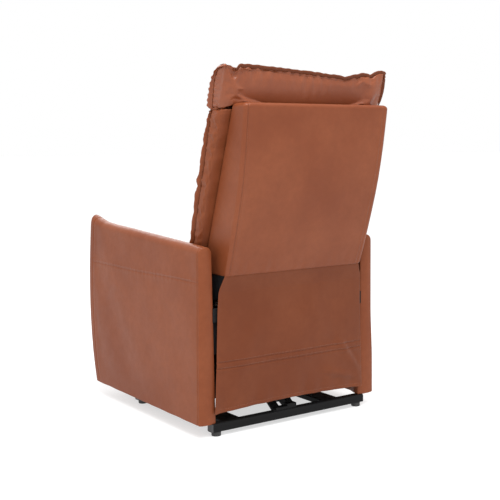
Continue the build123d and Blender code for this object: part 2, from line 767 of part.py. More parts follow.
def build():
    lift = ACTUATORS["lift"]
    footrest = ACTUATORS["footrest"]
    recline = ACTUATORS["recline"]

    rear_rail = cross_rail(REAR_RAIL_Y)
    save("base_rear_rail", rear_rail)
    save("base_front_rail", cross_rail(FRONT_RAIL_Y))
    save("base_side_rails", *both(side_rail()))
    save("rail_end_caps", *both(rail_cap(REAR_RAIL_Y), rail_cap(FRONT_RAIL_Y)))
    save("base_feet", *both(foot(FOOT_X, REAR_RAIL_Y), foot(FOOT_X, FRONT_RAIL_Y)))
    save("base_pivot_ears", *both(pivot_ear()))
    save("base_pivot_bolts", *both(base_pivot_bolt()))
    rail_block = slab(-RAIL_HALF, RAIL_HALF, REAR_RAIL_Y - RAIL_DEPTH / 2, 400, 0, 400)
    anchor = (REAR_RAIL_Y - 10, lift["tail"][1] - 22)
    save("lift_motor_clevis", *tail_clevis(lift, anchor, rail_block), *clevis_seat())

    save("front_lift_links", *both(front_lift_link()))
    save("rear_lift_links", *both(rear_lift_link()))
    save("lift_torque_tube", torque_tube())
    save("lift_drive_lever", *drive_lever(LIFT_A, TORQUE_TUBE_R, lift))

    save("lift_brackets", *both(lift_bracket()))
    save("chassis_side_plates", *both(chassis_plate()))
    save("chassis_cross_tubes", *[cross_tube(centre) for centre in CROSS_TUBES])
    pins = [lift_bracket_pin(LIFT_C, LIFT_LINK_X), lift_bracket_pin(LIFT_D, REAR_LINK_X)]
    pins.append(footrest_chassis_pin(FOOT_P0, FRONT_LINK_X[0] - 1, FRONT_LINK_X[1] + 0.5))
    pins.append(footrest_chassis_pin(FOOT_G, GUIDE_LINK_X[0] - 0.5, GUIDE_LINK_X[1] + 0.5))
    pins.append(back_pivot_bolt())
    save("chassis_pivot_pins", *both(*pins))
    save("chassis_screws", *both(*[chassis_screw(point) for point in CHASSIS_SCREW_POINTS]))
    front_tube, _, rear_tube = CROSS_TUBES
    clevises = tail_clevis(footrest, rear_tube, disc(rear_tube, CROSS_TUBE_R, -300, 300))
    clevises += tail_clevis(recline, front_tube, disc(front_tube, CROSS_TUBE_R, -300, 300))
    save("chassis_motor_clevises", *clevises)
    save("seat_side_boards", *both(seat_side_board()))
    save("seat_cross_rails", *seat_cross_rails())
    springs = [spring_x(index) for index in range(SPRING_COUNT)]
    save("seat_springs", *[zigzag_spring(x) for x in springs])
    clip_rows = (SEAT_FRONT + 14, SEAT_REAR_RAIL_Y[1] - 8)
    save("spring_clips", *[spring_clip(x, y) for x in springs for y in clip_rows])
    save("seat_cushion", seat_cushion())
    save("control_box", control_box())
    save("power_inlet", power_inlet())

    save("arm_panels", *both(drilled_arm_panel()))
    cover = arm_cover(arm_body(), arm_panel())
    save("left_arm_cover", cover)
    save("right_arm_cover", mirror(cover, about=Plane.YZ) - panel_pocket())
    save("arm_bolts", *both(*[arm_bolt(point) for point in ARM_BOLT_POINTS]))
    save("control_panel", control_panel())
    for index, name in enumerate(BUTTONS):
        save(f"button_{name}", button(index))
    save("label_tag", label_tag())
    save("rear_skirt", slab(-SKIRT_HALF, SKIRT_HALF, *SKIRT_Y, *SKIRT_Z))

    save("back_shell", back_shell())
    save("back_frame", *back_frame())
    save("back_webbing", *[back_strap(along) for along in (80, 150, 315, 385)])
    save("back_cushion", back_cushion())
    save("head_cushion", head_cushion())
    save("back_brackets", *both(back_bracket()), back_drive_tube())

    save("footrest_front_links", *both(*front_link()))
    save("footrest_crossbar", crossbar(), *drive_lever(FOOT_CROSSBAR, FOOT_CROSSBAR_R, footrest))
    save("footrest_upper_links", *both(*upper_link()))
    save("footrest_guide_links", *both(guide_link()))
    save("footrest_level_links", *both(level_link()))
    save("footrest_brackets", *both(*foot_bracket()))
    save("footrest_board", slab(-282, 282, *FOOT_BOARD_Y, 88, 384))
    save("footrest_pad", foot_pad())

    for name, actuator in ACTUATORS.items():
        save(f"{name}_motor", actuator_motor(actuator))
        save(f"{name}_actuator_tube", actuator_tube(actuator))
        save(f"{name}_actuator_rod", actuator_rod(actuator))
    save("lift_motor_lead", motor_lead())


os.makedirs("parts", exist_ok=True)
build()
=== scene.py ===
import json
import math

import bmesh
import bpy
import numpy as np
from mathutils import Matrix, Vector

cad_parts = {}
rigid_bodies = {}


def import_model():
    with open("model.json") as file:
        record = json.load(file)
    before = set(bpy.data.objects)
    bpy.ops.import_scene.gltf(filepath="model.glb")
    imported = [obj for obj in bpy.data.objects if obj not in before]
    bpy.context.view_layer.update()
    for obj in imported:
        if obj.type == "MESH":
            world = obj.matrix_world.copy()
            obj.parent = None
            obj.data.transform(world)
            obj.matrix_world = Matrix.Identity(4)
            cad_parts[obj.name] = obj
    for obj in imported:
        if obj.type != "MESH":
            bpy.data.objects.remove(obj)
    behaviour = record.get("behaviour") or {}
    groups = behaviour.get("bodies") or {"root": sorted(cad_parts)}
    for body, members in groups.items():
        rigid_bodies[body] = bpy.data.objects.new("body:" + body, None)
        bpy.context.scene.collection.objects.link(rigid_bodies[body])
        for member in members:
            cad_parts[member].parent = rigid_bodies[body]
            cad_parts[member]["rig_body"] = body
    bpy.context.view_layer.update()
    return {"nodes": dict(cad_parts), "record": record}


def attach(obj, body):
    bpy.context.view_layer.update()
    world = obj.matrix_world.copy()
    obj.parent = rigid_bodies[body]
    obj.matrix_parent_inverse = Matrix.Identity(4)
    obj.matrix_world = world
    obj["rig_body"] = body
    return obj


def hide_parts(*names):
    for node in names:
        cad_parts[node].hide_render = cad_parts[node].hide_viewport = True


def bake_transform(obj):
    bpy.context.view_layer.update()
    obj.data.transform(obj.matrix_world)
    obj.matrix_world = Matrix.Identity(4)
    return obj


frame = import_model()

MM = 0.001


# ---- small geometry helpers


def ripple(s, wavelength, seed, count=5):
    """A smooth uneven wave along s, about -1 to 1, with bumps about a wavelength apart."""
    rng = np.random.default_rng(seed)
    rates = rng.uniform(0.6, 1.5, count) / wavelength
    shifts = rng.uniform(0, 2 * np.pi, count)
    waves = [np.sin(2 * np.pi * rate * s + shift) for rate, shift in zip(rates, shifts)]
    return sum(waves) / (1.2 * math.sqrt(count))


def bell(distance, width):
    """1 at no distance, fading to nothing a few widths away."""
    return np.exp(-((distance / width) ** 2))


def smooth(value, low, high):
    """0 below low, 1 above high, and a smooth step between."""
    t = np.clip((value - low) / (high - low), 0, 1)
    return t * t * (3 - 2 * t)


def refine(points, times, wrap=False):
    """Catmull-Rom refinement of an array of points along its first axis."""
    count = len(points)
    last = count if wrap else count - 1
    t = np.arange(last * times + (0 if wrap else 1)) / times
    low = np.minimum(np.floor(t).astype(int), last - 1)
    f = (t - low).reshape((-1,) + (1,) * (points.ndim - 1))

    def pick(index):
        return points[index % count] if wrap else points[np.clip(index, 0, count - 1)]

    a, b, c, d = pick(low - 1), pick(low), pick(low + 1), pick(low + 2)
    curve = 2 * b + (c - a) * f + (2 * a - 5 * b + 4 * c - d) * f**2 + (3 * b - a - 3 * c + d) * f**3
    return 0.5 * curve


def through_stations(values, steps):
    """Curves through evenly numbered stations that never overshoot them, with steps points a span."""
    slope = np.diff(values, axis=0)
    before, after = slope[:-1], slope[1:]
    product = before * after
    total = np.where(product > 0, before + after, 1.0)
    inner = np.where(product > 0, 2 * product / total, 0.0)
    tangent = np.concatenate([slope[:1], inner, slope[-1:]])
    t = np.arange((len(values) - 1) * steps + 1) / steps
    low = np.minimum(t.astype(int), len(values) - 2)
    f = (t - low).reshape((-1,) + (1,) * (values.ndim - 1))
    a, b = values[low], values[low + 1]
    ta, tb = tangent[low], tangent[low + 1]
    return a + ta * f + (3 * (b - a) - 2 * ta - tb) * f**2 + (2 * (a - b) + ta + tb) * f**3


def spread(*spans):
    """A rising list of values from (start, end, steps) spans that follow each other."""
    values = [spans[0][0]]
    for start, end, steps in spans:
        values += [start + (end - start) * (k + 1) / steps for k in range(steps)]
    return np.array(values)


def grid_normals(points, wrap=False):
    """Unit normals of a grid of points, rows by columns; the columns may wrap round."""
    along = np.gradient(points, axis=0)
    if wrap:
        across = (np.roll(points, -1, axis=1) - np.roll(points, 1, axis=1)) / 2
    else:
        across = np.gradient(points, axis=1)
    normals = np.cross(along, across)
    length = np.linalg.norm(normals, axis=2, keepdims=True)
    return normals / np.maximum(length, 1e-12)


def grid_faces(rows, columns, wrap=False, first=0):
    """Four-sided faces of a grid of vertices numbered row by row."""
    faces = []
    for i in range(rows - 1):
        for j in range(columns if wrap else columns - 1):
            k = (j + 1) % columns
            a = first + i * columns
            b = a + columns
            faces.append((a + j, a + k, b + k, b + j))
    return faces


def make_mesh(name, vertices, faces, merge=0.02 * MM):
    """A smooth-shaded object of a mesh, closed where its vertices meet, with its normals outward."""
    mesh = bpy.data.meshes.new(name)
    mesh.from_pydata([tuple(v) for v in vertices], [], faces)
    work = bmesh.new()
    work.from_mesh(mesh)
    bmesh.ops.remove_doubles(work, verts=work.verts, dist=merge)
    bmesh.ops.dissolve_degenerate(work, edges=work.edges, dist=1e-6)
    bmesh.ops.recalc_face_normals(work, faces=work.faces)
    for face in work.faces:
        face.smooth = True
    work.to_mesh(mesh)
    work.free()
    piece = bpy.data.objects.new(name, mesh)
    bpy.context.scene.collection.objects.link(piece)
    return piece


def append_mesh(vertices, faces, more, quads):
    """Adds one mesh to the lists of another."""
    start = len(vertices)
    vertices.extend(more)
    faces.extend(tuple(start + k for k in quad) for quad in quads)


def apply_modifiers(piece):
    """Replaces a piece's mesh with the result of its modifiers."""
    bpy.context.view_layer.update()
    graph = bpy.context.evaluated_depsgraph_get()
    mesh = bpy.data.meshes.new_from_object(piece.evaluated_get(graph))
    piece.modifiers.clear()
    piece.data = mesh
    return piece


def subdivide(piece):
    modifier = piece.modifiers.new("subdivision", "SUBSURF")
    modifier.levels = 1
    modifier.render_levels = 1
    return apply_modifiers(piece)


def thicken(piece, thickness):
    """Gives an open skin its leather thickness, inward."""
    modifier = piece.modifiers.new("thickness", "SOLIDIFY")
    modifier.thickness = thickness
    modifier.offset = -1
    return apply_modifiers(piece)


def path_frames(path, up):
    """Unit side and up vectors across a path, with up kept near the given directions."""
    tangent = np.gradient(path, axis=0)
    tangent /= np.linalg.norm(tangent, axis=1, keepdims=True)
    up = np.broadcast_to(np.asarray(up, float), path.shape)
    side = np.cross(tangent, up)
    side /= np.linalg.norm(side, axis=1, keepdims=True)
    return side, np.cross(side, tangent)


def sweep(path, up, half_side, half_up, segments=10):
    """Vertices and faces of a closed oval tube along a path, tapering to points at its ends."""
    side, up = path_frames(path, up)
    count = len(path)
    half_side = np.broadcast_to(half_side, count).copy()
    half_up = np.broadcast_to(half_up, count).copy()
    half_side[[0, -1]] *= 0.05
    half_up[[0, -1]] *= 0.05
    angles = np.linspace(0, 2 * np.pi, segments, endpoint=False)
    ring = (
        path[:, None]
        + side[:, None] * (half_side[:, None] * np.cos(angles))[..., None]
        + up[:, None] * (half_up[:, None] * np.sin(angles))[..., None]
    )
    vertices = ring.reshape(-1, 3)
    faces = grid_faces(count, segments, wrap=True)
    faces.append(tuple(range(segments))[::-1])
    faces.append(tuple(range((count - 1) * segments, count * segments)))
    return vertices, faces


def resample(path, spacing):
    """The same line with points an even distance apart."""
    steps = np.linalg.norm(np.diff(path, axis=0), axis=1)
    run = np.concatenate([[0], np.cumsum(steps)])
    count = max(2, int(round(run[-1] / spacing)) + 1)
    even = np.linspace(0, run[-1], count)
    return np.stack([np.interp(even, run, path[:, k]) for k in range(3)], axis=1)


def stitches(name, lines, body, pitch=5.5 * MM, length=3.6 * MM, thick=0.45 * MM):
    """Rows of thread stitches: each line is (path, outward directions)."""
    vertices, faces = [], []
    for path, out in lines:
        line = resample(np.asarray(path), pitch)
        outward = np.broadcast_to(np.asarray(out, float), (len(line), 3))
        step = np.gradient(line, axis=0)
        step /= np.linalg.norm(step, axis=1, keepdims=True)
        for point, along, up in zip(line[1:-1], step[1:-1], outward[1:-1]):
            reach = np.linspace(-0.5, 0.5, 5)[:, None]
            lift = (0.25 - reach**2) * 1.6 * thick
            curve = point + along * length * reach + up * (lift - 0.2 * thick)
            append_mesh(vertices, faces, *sweep(curve, up, thick, 0.8 * thick, segments=6))
    piece = make_mesh(name, vertices, faces, merge=1e-7)
    dress(piece, "thread")
    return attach(piece, body)


# ---- materials

materials = {}


class Shader:
    """One material with short calls for the nodes it uses. Object coordinates are metres in the chair's frame."""

    def __init__(self, name, colour, roughness, **sockets):
        self.material = bpy.data.materials.new(name)
        self.material.use_nodes = True
        self.tree = self.material.node_tree
        self.shader = self.tree.nodes["Principled BSDF"]
        self.set(self.shader, Base_Color=(*colour, 1), Roughness=roughness, **sockets)
        self.place = self.tree.nodes.new("ShaderNodeTexCoord").outputs["Object"]
        self.material.diffuse_color = (*colour, 1)

    def plug(self, socket, value):
        """Links an output to a socket, or gives the socket a constant."""
        if isinstance(value, bpy.types.NodeSocket):
            self.tree.links.new(value, socket)
        else:
            socket.default_value = value

    def set(self, node, **sockets):
        for key, value in sockets.items():
            self.plug(node.inputs[key.replace("_", " ")], value)

    def add(self, kind, settings=None, **sockets):
        node = self.tree.nodes.new("ShaderNode" + kind)
        for key, value in (settings or {}).items():
            setattr(node, key, value)
        self.set(node, **sockets)
        return node

    def noise(self, scale, detail=3.0, roughness=0.5, vector=None):
        where = vector or self.place
        node = self.add("TexNoise", Vector=where, Scale=scale, Detail=detail, Roughness=roughness)
        return node.outputs["Fac"]

    def cells(self, scale, feature="F1", vector=None):
        node = self.add("TexVoronoi", {"feature": feature}, Vector=vector or self.place, Scale=scale)
        return node.outputs["Distance"]

    def stretched(self, scale):
        return self.add("Mapping", Vector=self.place, Scale=scale).outputs["Vector"]

    def ramp(self, value, low, high, to_low=0.0, to_high=1.0):
        node = self.add("MapRange", Value=value)
        for index, number in enumerate((low, high, to_low, to_high)):
            node.inputs[index + 1].default_value = number
        return node.outputs["Result"]

    def mix(self, factor, a, b):
        node = self.add("Mix", {"data_type": "RGBA"})
        for index, value in ((0, factor), (6, a), (7, b)):
            self.plug(node.inputs[index], (*value, 1) if isinstance(value, tuple) else value)
        return node.outputs[2]

    def math(self, operation, a, b=0.0):
        node = self.add("Math", {"operation": operation})
        for socket, value in zip(node.inputs, (a, b)):
            self.plug(socket, value)
        return node.outputs[0]

    def bump(self, height, strength, distance, normal=None):
        node = self.add("Bump", Height=height, Strength=strength, Distance=distance)
        if normal is not None:
            self.tree.links.new(normal, node.inputs["Normal"])
        return node.outputs["Normal"]

    def finish(self, **sockets):
        self.set(self.shader, **sockets)
        return self.material


def leather(name, tone=1.0, shine=0.16):
    """Smooth corrected-grain cognac leather: uneven dye, fine pebble, lighter on worn edges, and painted shade
    darkening its creases.
    """
    # tone scales both colours: copies made with it below 1 carry painted shade, copies above 1 carry painted light
    light = tuple(c * tone for c in (0.234, 0.065, 0.025))
    dark = tuple(c * tone for c in (0.186, 0.046, 0.016))
    s = Shader(name, light, 0.42, Specular_IOR_Level=shine)
    clouds = s.ramp(s.noise(4.0, 4.0, 0.6), 0.35, 0.65)
    dye_and_painted_shade = s.mix(clouds, light, dark)
    flecks = s.ramp(s.noise(55.0, 6.0, 0.7), 0.30, 0.72, 0.0, 0.35)
    dye_and_painted_shade = s.mix(flecks, dye_and_painted_shade, tuple(c * 0.80 for c in dark))
    edge = s.add("NewGeometry").outputs["Pointiness"]
    dye_and_painted_shade = s.mix(s.ramp(edge, 0.515, 0.60, 0.0, 0.35), dye_and_painted_shade, tuple(min(1, c * 1.35) for c in light))
    # painted shade: the colour turns much darker where the surface is hollow, as if shaded in its creases
    dye_and_painted_shade = s.mix(s.ramp(edge, 0.485, 0.42, 0.0, 0.55), dye_and_painted_shade, tuple(c * 0.45 for c in dark))
    pebble = s.math("MULTIPLY", s.cells(620.0, "SMOOTH_F1"), 0.8)
    pores = s.math("MULTIPLY", s.noise(1500.0, 2.0), 0.35)
    fine = s.bump(s.math("ADD", pebble, pores), 0.16, 0.0006)
    warp = s.add("TexNoise", Vector=s.place, Scale=18.0, Detail=3.0).outputs["Color"]
    shift = s.add("VectorMath", {"operation": "SCALE"}, Vector=warp, Scale=0.02)
    warped = s.add("VectorMath", {"operation": "ADD"})
    s.plug(warped.inputs[0], s.place)
    s.plug(warped.inputs[1], shift.outputs["Vector"])
    creases = s.cells(95.0, "DISTANCE_TO_EDGE", warped.outputs["Vector"])
    lines = s.bump(s.ramp(creases, 0.0, 0.05), 0.10, 0.0004, fine)
    undulation = s.bump(s.noise(22.0, 3.0), 0.10, 0.004, lines)
    gloss = s.ramp(s.noise(30.0, 4.0, 0.6), 0.3, 0.7, 0.35, 0.46)
    return s.finish(Base_Color=dye_and_painted_shade, Roughness=gloss, Normal=undulation)


def powder_coat(name):
    s = Shader(name, (0.004, 0.004, 0.004), 0.42, Specular_IOR_Level=0.07)
    soft = s.add("Bevel", {"samples": 4}, Radius=0.0012).outputs["Normal"]
    peel = s.bump(s.noise(900.0, 3.0), 0.18, 0.0003, soft)
    dust = s.ramp(s.noise(14.0, 6.0, 0.65), 0.50, 0.80, 0.0, 0.3)
    tone = s.mix(dust, (0.003, 0.003, 0.003), (0.007, 0.0068, 0.0065))
    edge = s.ramp(s.add("NewGeometry").outputs["Pointiness"], 0.52, 0.62, 0.0, 0.5)
    tone = s.mix(edge, tone, (0.020, 0.020, 0.021))
    gloss = s.ramp(s.noise(45.0, 4.0), 0.3, 0.7, 0.30, 0.46)
    return s.finish(Base_Color=tone, Roughness=gloss, Normal=peel)


def zinc(name):
    s = Shader(name, (0.60, 0.60, 0.58), 0.30, Metallic=1.0)
    soft = s.add("Bevel", {"samples": 4}, Radius=0.0006).outputs["Normal"]
    spangle = s.ramp(s.cells(260.0), 0.0, 0.7)
    tone = s.mix(spangle, (0.66, 0.66, 0.63), (0.47, 0.48, 0.49))
    drawn = s.noise(240.0, 3.0, 0.5, s.stretched((1, 1, 14)))
    gloss = s.ramp(drawn, 0.3, 0.7, 0.22, 0.42)
    return s.finish(Base_Color=tone, Roughness=gloss, Normal=s.bump(drawn, 0.08, 0.0002, soft))


def plywood(name):
    """Birch plywood: long grain on the faces and darker glue lines."""
    s = Shader(name, (0.60, 0.42, 0.25), 0.62)
    grain = s.noise(60.0, 6.0, 0.6, s.stretched((1.2, 0.12, 1.2)))
    tone = s.mix(s.ramp(grain, 0.35, 0.65), (0.64, 0.47, 0.29), (0.46, 0.30, 0.16))
    pores = s.noise(900.0, 2.0, 0.5, s.stretched((1, 0.06, 1)))
    tone = s.mix(s.ramp(pores, 0.56, 0.68, 0.0, 0.5), tone, (0.26, 0.15, 0.08))
    plies = s.add("TexWave", {"bands_direction": "X"}, Vector=s.place, Scale=95.0, Distortion=0.6)
    tone = s.mix(s.ramp(plies.outputs["Fac"], 0.82, 0.97, 0.0, 0.35), tone, (0.22, 0.12, 0.06))
    gloss = s.ramp(grain, 0.3, 0.7, 0.50, 0.72)
    return s.finish(Base_Color=tone, Roughness=gloss, Normal=s.bump(pores, 0.25, 0.0004))


def moulded(name, colour, roughness, texture=500.0, depth=0.25):
    """Moulded plastic with a fine spark-eroded texture and slightly worn corners."""
    s = Shader(name, colour, roughness)
    soft = s.add("Bevel", {"samples": 4}, Radius=0.0008).outputs["Normal"]
    grain = s.noise(texture, 4.0, 0.6)
    flow = s.ramp(s.noise(20.0, 3.0), 0.3, 0.7)
    tone = s.mix(flow, colour, tuple(c * 1.25 + 0.004 for c in colour))
    edge = s.ramp(s.add("NewGeometry").outputs["Pointiness"], 0.53, 0.65, 0.0, 0.5)
    tone = s.mix(edge, tone, tuple(min(1, c * 1.6 + 0.02) for c in colour))
    gloss = s.ramp(grain, 0.3, 0.7, roughness - 0.08, roughness + 0.10)
    return s.finish(Base_Color=tone, Roughness=gloss, Normal=s.bump(grain, depth, 0.0002, soft))


def woven(name, warp, weft, scale, sheen=0.25):
    """Narrow woven tape: crossing yarns as two sets of fine ridges."""
    s = Shader(name, warp, 0.85, Sheen_Weight=sheen, Sheen_Roughness=0.5, Specular_IOR_Level=0.3)
    ridges = [s.add("TexWave", {"bands_direction": way}, Vector=s.place, Scale=scale, Distortion=0.8) for way in "XZ"]
    yarn = s.math("MULTIPLY", ridges[0].outputs["Fac"], ridges[1].outputs["Fac"])
    fuzz = s.noise(1200.0, 3.0)
    tone = s.mix(s.ramp(yarn, 0.1, 0.7), weft, warp)
    height = s.math("ADD", yarn, s.math("MULTIPLY", fuzz, 0.3))
    return s.finish(Base_Color=tone, Normal=s.bump(height, 0.5, 0.0005))


def anodised(name):
    s = Shader(name, (0.030, 0.030, 0.032), 0.34, Metallic=0.6)
    drawn = s.noise(500.0, 3.0, 0.5, s.stretched((1, 0.04, 1)))
    tone = s.mix(s.ramp(drawn, 0.35, 0.65), (0.024, 0.024, 0.026), (0.038, 0.038, 0.041))
    gloss = s.ramp(drawn, 0.3, 0.7, 0.26, 0.42)
    return s.finish(Base_Color=tone, Roughness=gloss, Normal=s.bump(drawn, 0.06, 0.0002))


def thread_material(name):
    s = Shader(name, (0.20, 0.07, 0.038), 0.6, Sheen_Weight=0.2)
    twist = s.add("TexWave", {"bands_direction": "DIAGONAL"}, Vector=s.place, Scale=900.0).outputs["Fac"]
    tone = s.mix(twist, (0.15, 0.052, 0.028), (0.26, 0.095, 0.052))
    return s.finish(Base_Color=tone, Normal=s.bump(twist, 0.4, 0.0002))


def floor_material(name):
    s = Shader(name, (0.42, 0.42, 0.42), 0.9, Specular_IOR_Level=0.1, Emission_Strength=0.62)
    tone = s.mix(s.ramp(s.noise(3.0, 3.0), 0.3, 0.7), (0.415, 0.415, 0.415), (0.425, 0.425, 0.425))
    return s.finish(Base_Color=tone, Emission_Color=(1.0, 1.0, 1.0, 1.0))


def make_materials():
    lining = (0.009, 0.009, 0.010), (0.004, 0.004, 0.005)
    materials.update(
        leather=leather("cognac_leather"),
        # painted shade: welts and the head's top flange use the leather darkened to 0.62, as if lying in shade
        welt=leather("cognac_leather_welt_painted_shade", tone=0.62),
        # painted light: the shell's leather is a copy lightened to 1.06, as if more lit
        shell_leather=leather("cognac_leather_shell_painted_light", tone=1.06, shine=0.22),
        # painted light: the head cushion's leather is lightened to 1.24, as if lit from above
        head_leather=leather("cognac_leather_head_painted_light", tone=1.24, shine=0.40),
        # painted shade: the rear skirt's leather is darkened to 0.80, as if lying in shade low at the rear
        skirt_leather=leather("cognac_leather_skirt_painted_shade", tone=0.80),
        thread=thread_material("bonded_thread"),
        black_steel=powder_coat("black_powder_coat"),
        zinc_steel=zinc("bright_zinc"),
        plywood=plywood("birch_plywood"),
        black_plastic=moulded("black_moulding", (0.020, 0.020, 0.022), 0.48),
        foot_plastic=moulded("foot_moulding", (0.016, 0.016, 0.016), 0.60, 300.0, 0.4),
        spring_clip_plastic=moulded("natural_nylon", (0.72, 0.70, 0.64), 0.45),
        motor_plastic=moulded("glass_filled_nylon", (0.028, 0.028, 0.030), 0.55, 800.0, 0.35),
        lead_rubber=moulded("lead_sheath", (0.014, 0.014, 0.014), 0.50, 1200.0, 0.15),
        button_plastic=moulded("button_grey", (0.33, 0.33, 0.34), 0.36),
        black_anodised=anodised("black_anodised_tube"),
        black_lining=woven("black_lining_cloth", *lining, 600.0, sheen=0.0),
        webbing=woven("elastic_webbing", (0.16, 0.15, 0.15), (0.05, 0.05, 0.05), 260.0),
        white_tape=woven("white_woven_tape", (0.84, 0.84, 0.82), (0.62, 0.62, 0.60), 420.0),
    )


def dress(piece, material):
    piece.data.materials.clear()
    piece.data.materials.append(materials[material])
    return piece


def dress_cad_nodes():
    """Every CAD node that stays in view gets the procedural material of its slot."""
    slots = {part["node"]: part["material_slot"] for part in frame["record"]["subparts"]}
    for name, node in frame["nodes"].items():
        for index in range(len(node.material_slots)):
            node.material_slots[index].link = "OBJECT"
            node.material_slots[index].material = materials[slots[name]]


# ---- padded covers


def even_angles(width, depth, power, count):
    """Angles round half a rounded box that spread its points evenly, closer together at its corners."""
    t = np.linspace(0, 1, 800)
    quarter = np.where(t < 0.5, (2 * t) ** 4 / 2, 1 - (2 - 2 * t) ** 4 / 2) * np.pi / 2
    angle = np.concatenate([quarter, np.pi - quarter[-2::-1]])
    across = width * np.abs(np.cos(angle)) ** (2 / power) * np.sign(np.cos(angle))
    deep = depth * np.sin(angle) ** (2 / power)
    step = np.hypot(np.diff(across), np.diff(deep))
    heading = np.unwrap(np.arctan2(np.diff(deep), np.diff(across)))
    run = np.concatenate([[0], np.cumsum(step + 25 * np.abs(np.diff(heading, prepend=heading[0])))])
    return np.interp(np.linspace(0, run[-1], count), run, angle)


def lofted_cushion(stations, half_widths, squareness, puff, rows, columns):
    """Grid of a closed cushion, rows by columns.

    Each station is (front, welt, rear), points (y, z) in millimetres at the middle, at the two side
    seams and at the middle of the other face. Columns run round the section from the left seam over
    the front face to the right seam and back over the rear face. The first and last stations close it.
    """
    steps = max(1, round(rows / (len(stations) - 1)))
    profile = through_stations(np.array(stations, float), steps)
    widths = through_stations(np.array(half_widths, float), steps)
    halves = []
    for face, power, swell in ((0, squareness[0], puff[0]), (2, squareness[1], puff[1])):
        thickness = np.linalg.norm(profile[:, face] - profile[:, 1], axis=1).max()
        angle = even_angles(widths.mean(), thickness, power, columns // 2 + 1)
        reach = np.abs(np.cos(angle)) ** (2 / power) * np.sign(np.cos(angle))
        depth = np.sin(angle) ** (2 / power)
        depth[[0, -1]] = 0
        x = widths[:, None] * reach + 4 * swell * np.sign(reach) * depth * (1 - depth)
        welt, crown = profile[:, 1], profile[:, face]
        yz = welt[:, None] + (crown - welt)[:, None] * depth[None, :, None]
        halves.append(np.concatenate([x[..., None], yz], axis=2))
    front, rear = halves
    return np.concatenate([front, rear[:, -2:0:-1]], axis=1) * MM


def inflate(points, pinned, pressure, cap, frames=20):
    """Cloth simulation of a closed grid cushion under air pressure, with its seams held.

    Returns the grid with each point moved by no more than cap.
    """
    rows, columns = points.shape[:2]
    half = columns // 2
    index = np.arange(rows * columns).reshape(rows, columns)
    for end in (0, rows - 1):
        for k in range(1, half):
            index[end, columns - k] = index[end, k]
    faces = []
    for i in range(rows - 1):
        for j in range(columns):
            k = (j + 1) % columns
            corner = [index[i, j], index[i, k], index[i + 1, k], index[i + 1, j]]
            kept = [c for n, c in enumerate(corner) if c != corner[n - 1]]
            if len(set(kept)) > 2:
                faces.append(tuple(int(c) for c in kept))
    mesh = bpy.data.meshes.new("inflating")
    mesh.from_pydata([tuple(p) for p in points.reshape(-1, 3)], [], faces)
    cloth_piece = bpy.data.objects.new("inflating", mesh)
    bpy.context.scene.collection.objects.link(cloth_piece)
    group = cloth_piece.vertex_groups.new(name="held")
    for weight in (0.35, 0.7, 1.0):
        members = index[(pinned > weight - 0.2) & (pinned <= weight + 0.16)]
        group.add([int(v) for v in members.ravel()], weight, "REPLACE")
    modifier = cloth_piece.modifiers.new("cloth", "CLOTH")
    settings = modifier.settings
    settings.quality = 6
    settings.mass = 0.25
    settings.tension_stiffness = 18
    settings.compression_stiffness = 14
    settings.shear_stiffness = 6
    settings.bending_stiffness = 1.2
    settings.vertex_group_mass = "held"
    settings.use_pressure = True
    settings.uniform_pressure_force = pressure
    settings.shrink_min = -0.015
    settings.effector_weights.gravity = 0
    modifier.collision_settings.use_collision = False
    scene = bpy.context.scene
    modifier.point_cache.frame_start = 1
    modifier.point_cache.frame_end = frames
    for number in range(1, frames + 1):
        scene.frame_set(number)
    graph = bpy.context.evaluated_depsgraph_get()
    result = cloth_piece.evaluated_get(graph).data
    moved = np.empty(len(mesh.vertices) * 3, np.float32)
    result.vertices.foreach_get("co", moved)
    moved = moved.reshape(-1, 3).astype(float)[index.ravel()].reshape(points.shape)
    bpy.data.objects.remove(cloth_piece)
    scene.frame_set(1)
    shift = moved - points
    reach = np.linalg.norm(shift, axis=2, keepdims=True)
    return points + shift * np.minimum(1, cap / np.maximum(reach, 1e-9))


def held_seams(rows, columns, extra=None):
    """Weights for inflate: the side seams and both ends are fully held."""
    held = np.zeros((rows, columns))
    held[:, [0, columns // 2]] = 1
    held[[0, -1], :] = 1
    for k, weight in ((1, 0.7), (2, 0.35)):
        for seam in (0, columns // 2):
            held[:, (seam + k) % columns] = np.maximum(held[:, (seam + k) % columns], weight)
            held[:, (seam - k) % columns] = np.maximum(held[:, (seam - k) % columns], weight)
    return held if extra is None else np.maximum(held, extra)


def refine_grid(points, times):
    """A finer grid, rows by wrapped columns."""
    finer = refine(points, times)
    return refine(finer.swapaxes(0, 1), times, wrap=True).swapaxes(0, 1)


def seam_distance(points):
    """Distance in metres of each grid point from its nearer side seam, along the section."""
    columns = points.shape[1]
    half = columns // 2
    step = np.linalg.norm(np.roll(points, -1, axis=1) - points, axis=2)
    run = np.cumsum(step, axis=1) - step
    total = run[:, -1:] + step[:, -1:]
    middle = run[:, half : half + 1]
    near = np.minimum(run, total - run)
    return np.minimum(near, np.abs(run - middle))


def end_distance(points, row):
    """Distance in metres of each grid point from an end row, along the column."""
    step = np.linalg.norm(np.diff(points, axis=0), axis=2)
    run = np.concatenate([np.zeros((1, points.shape[1])), np.cumsum(step, axis=0)])
    return run if row == 0 else run[-1] - run


def gather(distance, along, seed, height=1.6 * MM, reach=34 * MM, wavelength=24 * MM):
    """Outward pucker pattern beside a seam: short folds square to it that fade away from it."""
    folds = ripple(along, wavelength, seed) + 0.5 * ripple(along, wavelength * 0.45, seed + 1)
    long_reach = reach * (1 + 0.6 * ripple(along, wavelength * 1.7, seed + 2))
    fade = np.exp(-np.maximum(distance, 0) / np.maximum(long_reach, reach * 0.3))
    close = smooth(distance, 0.0, 5 * MM)
    return height * folds * fade * close


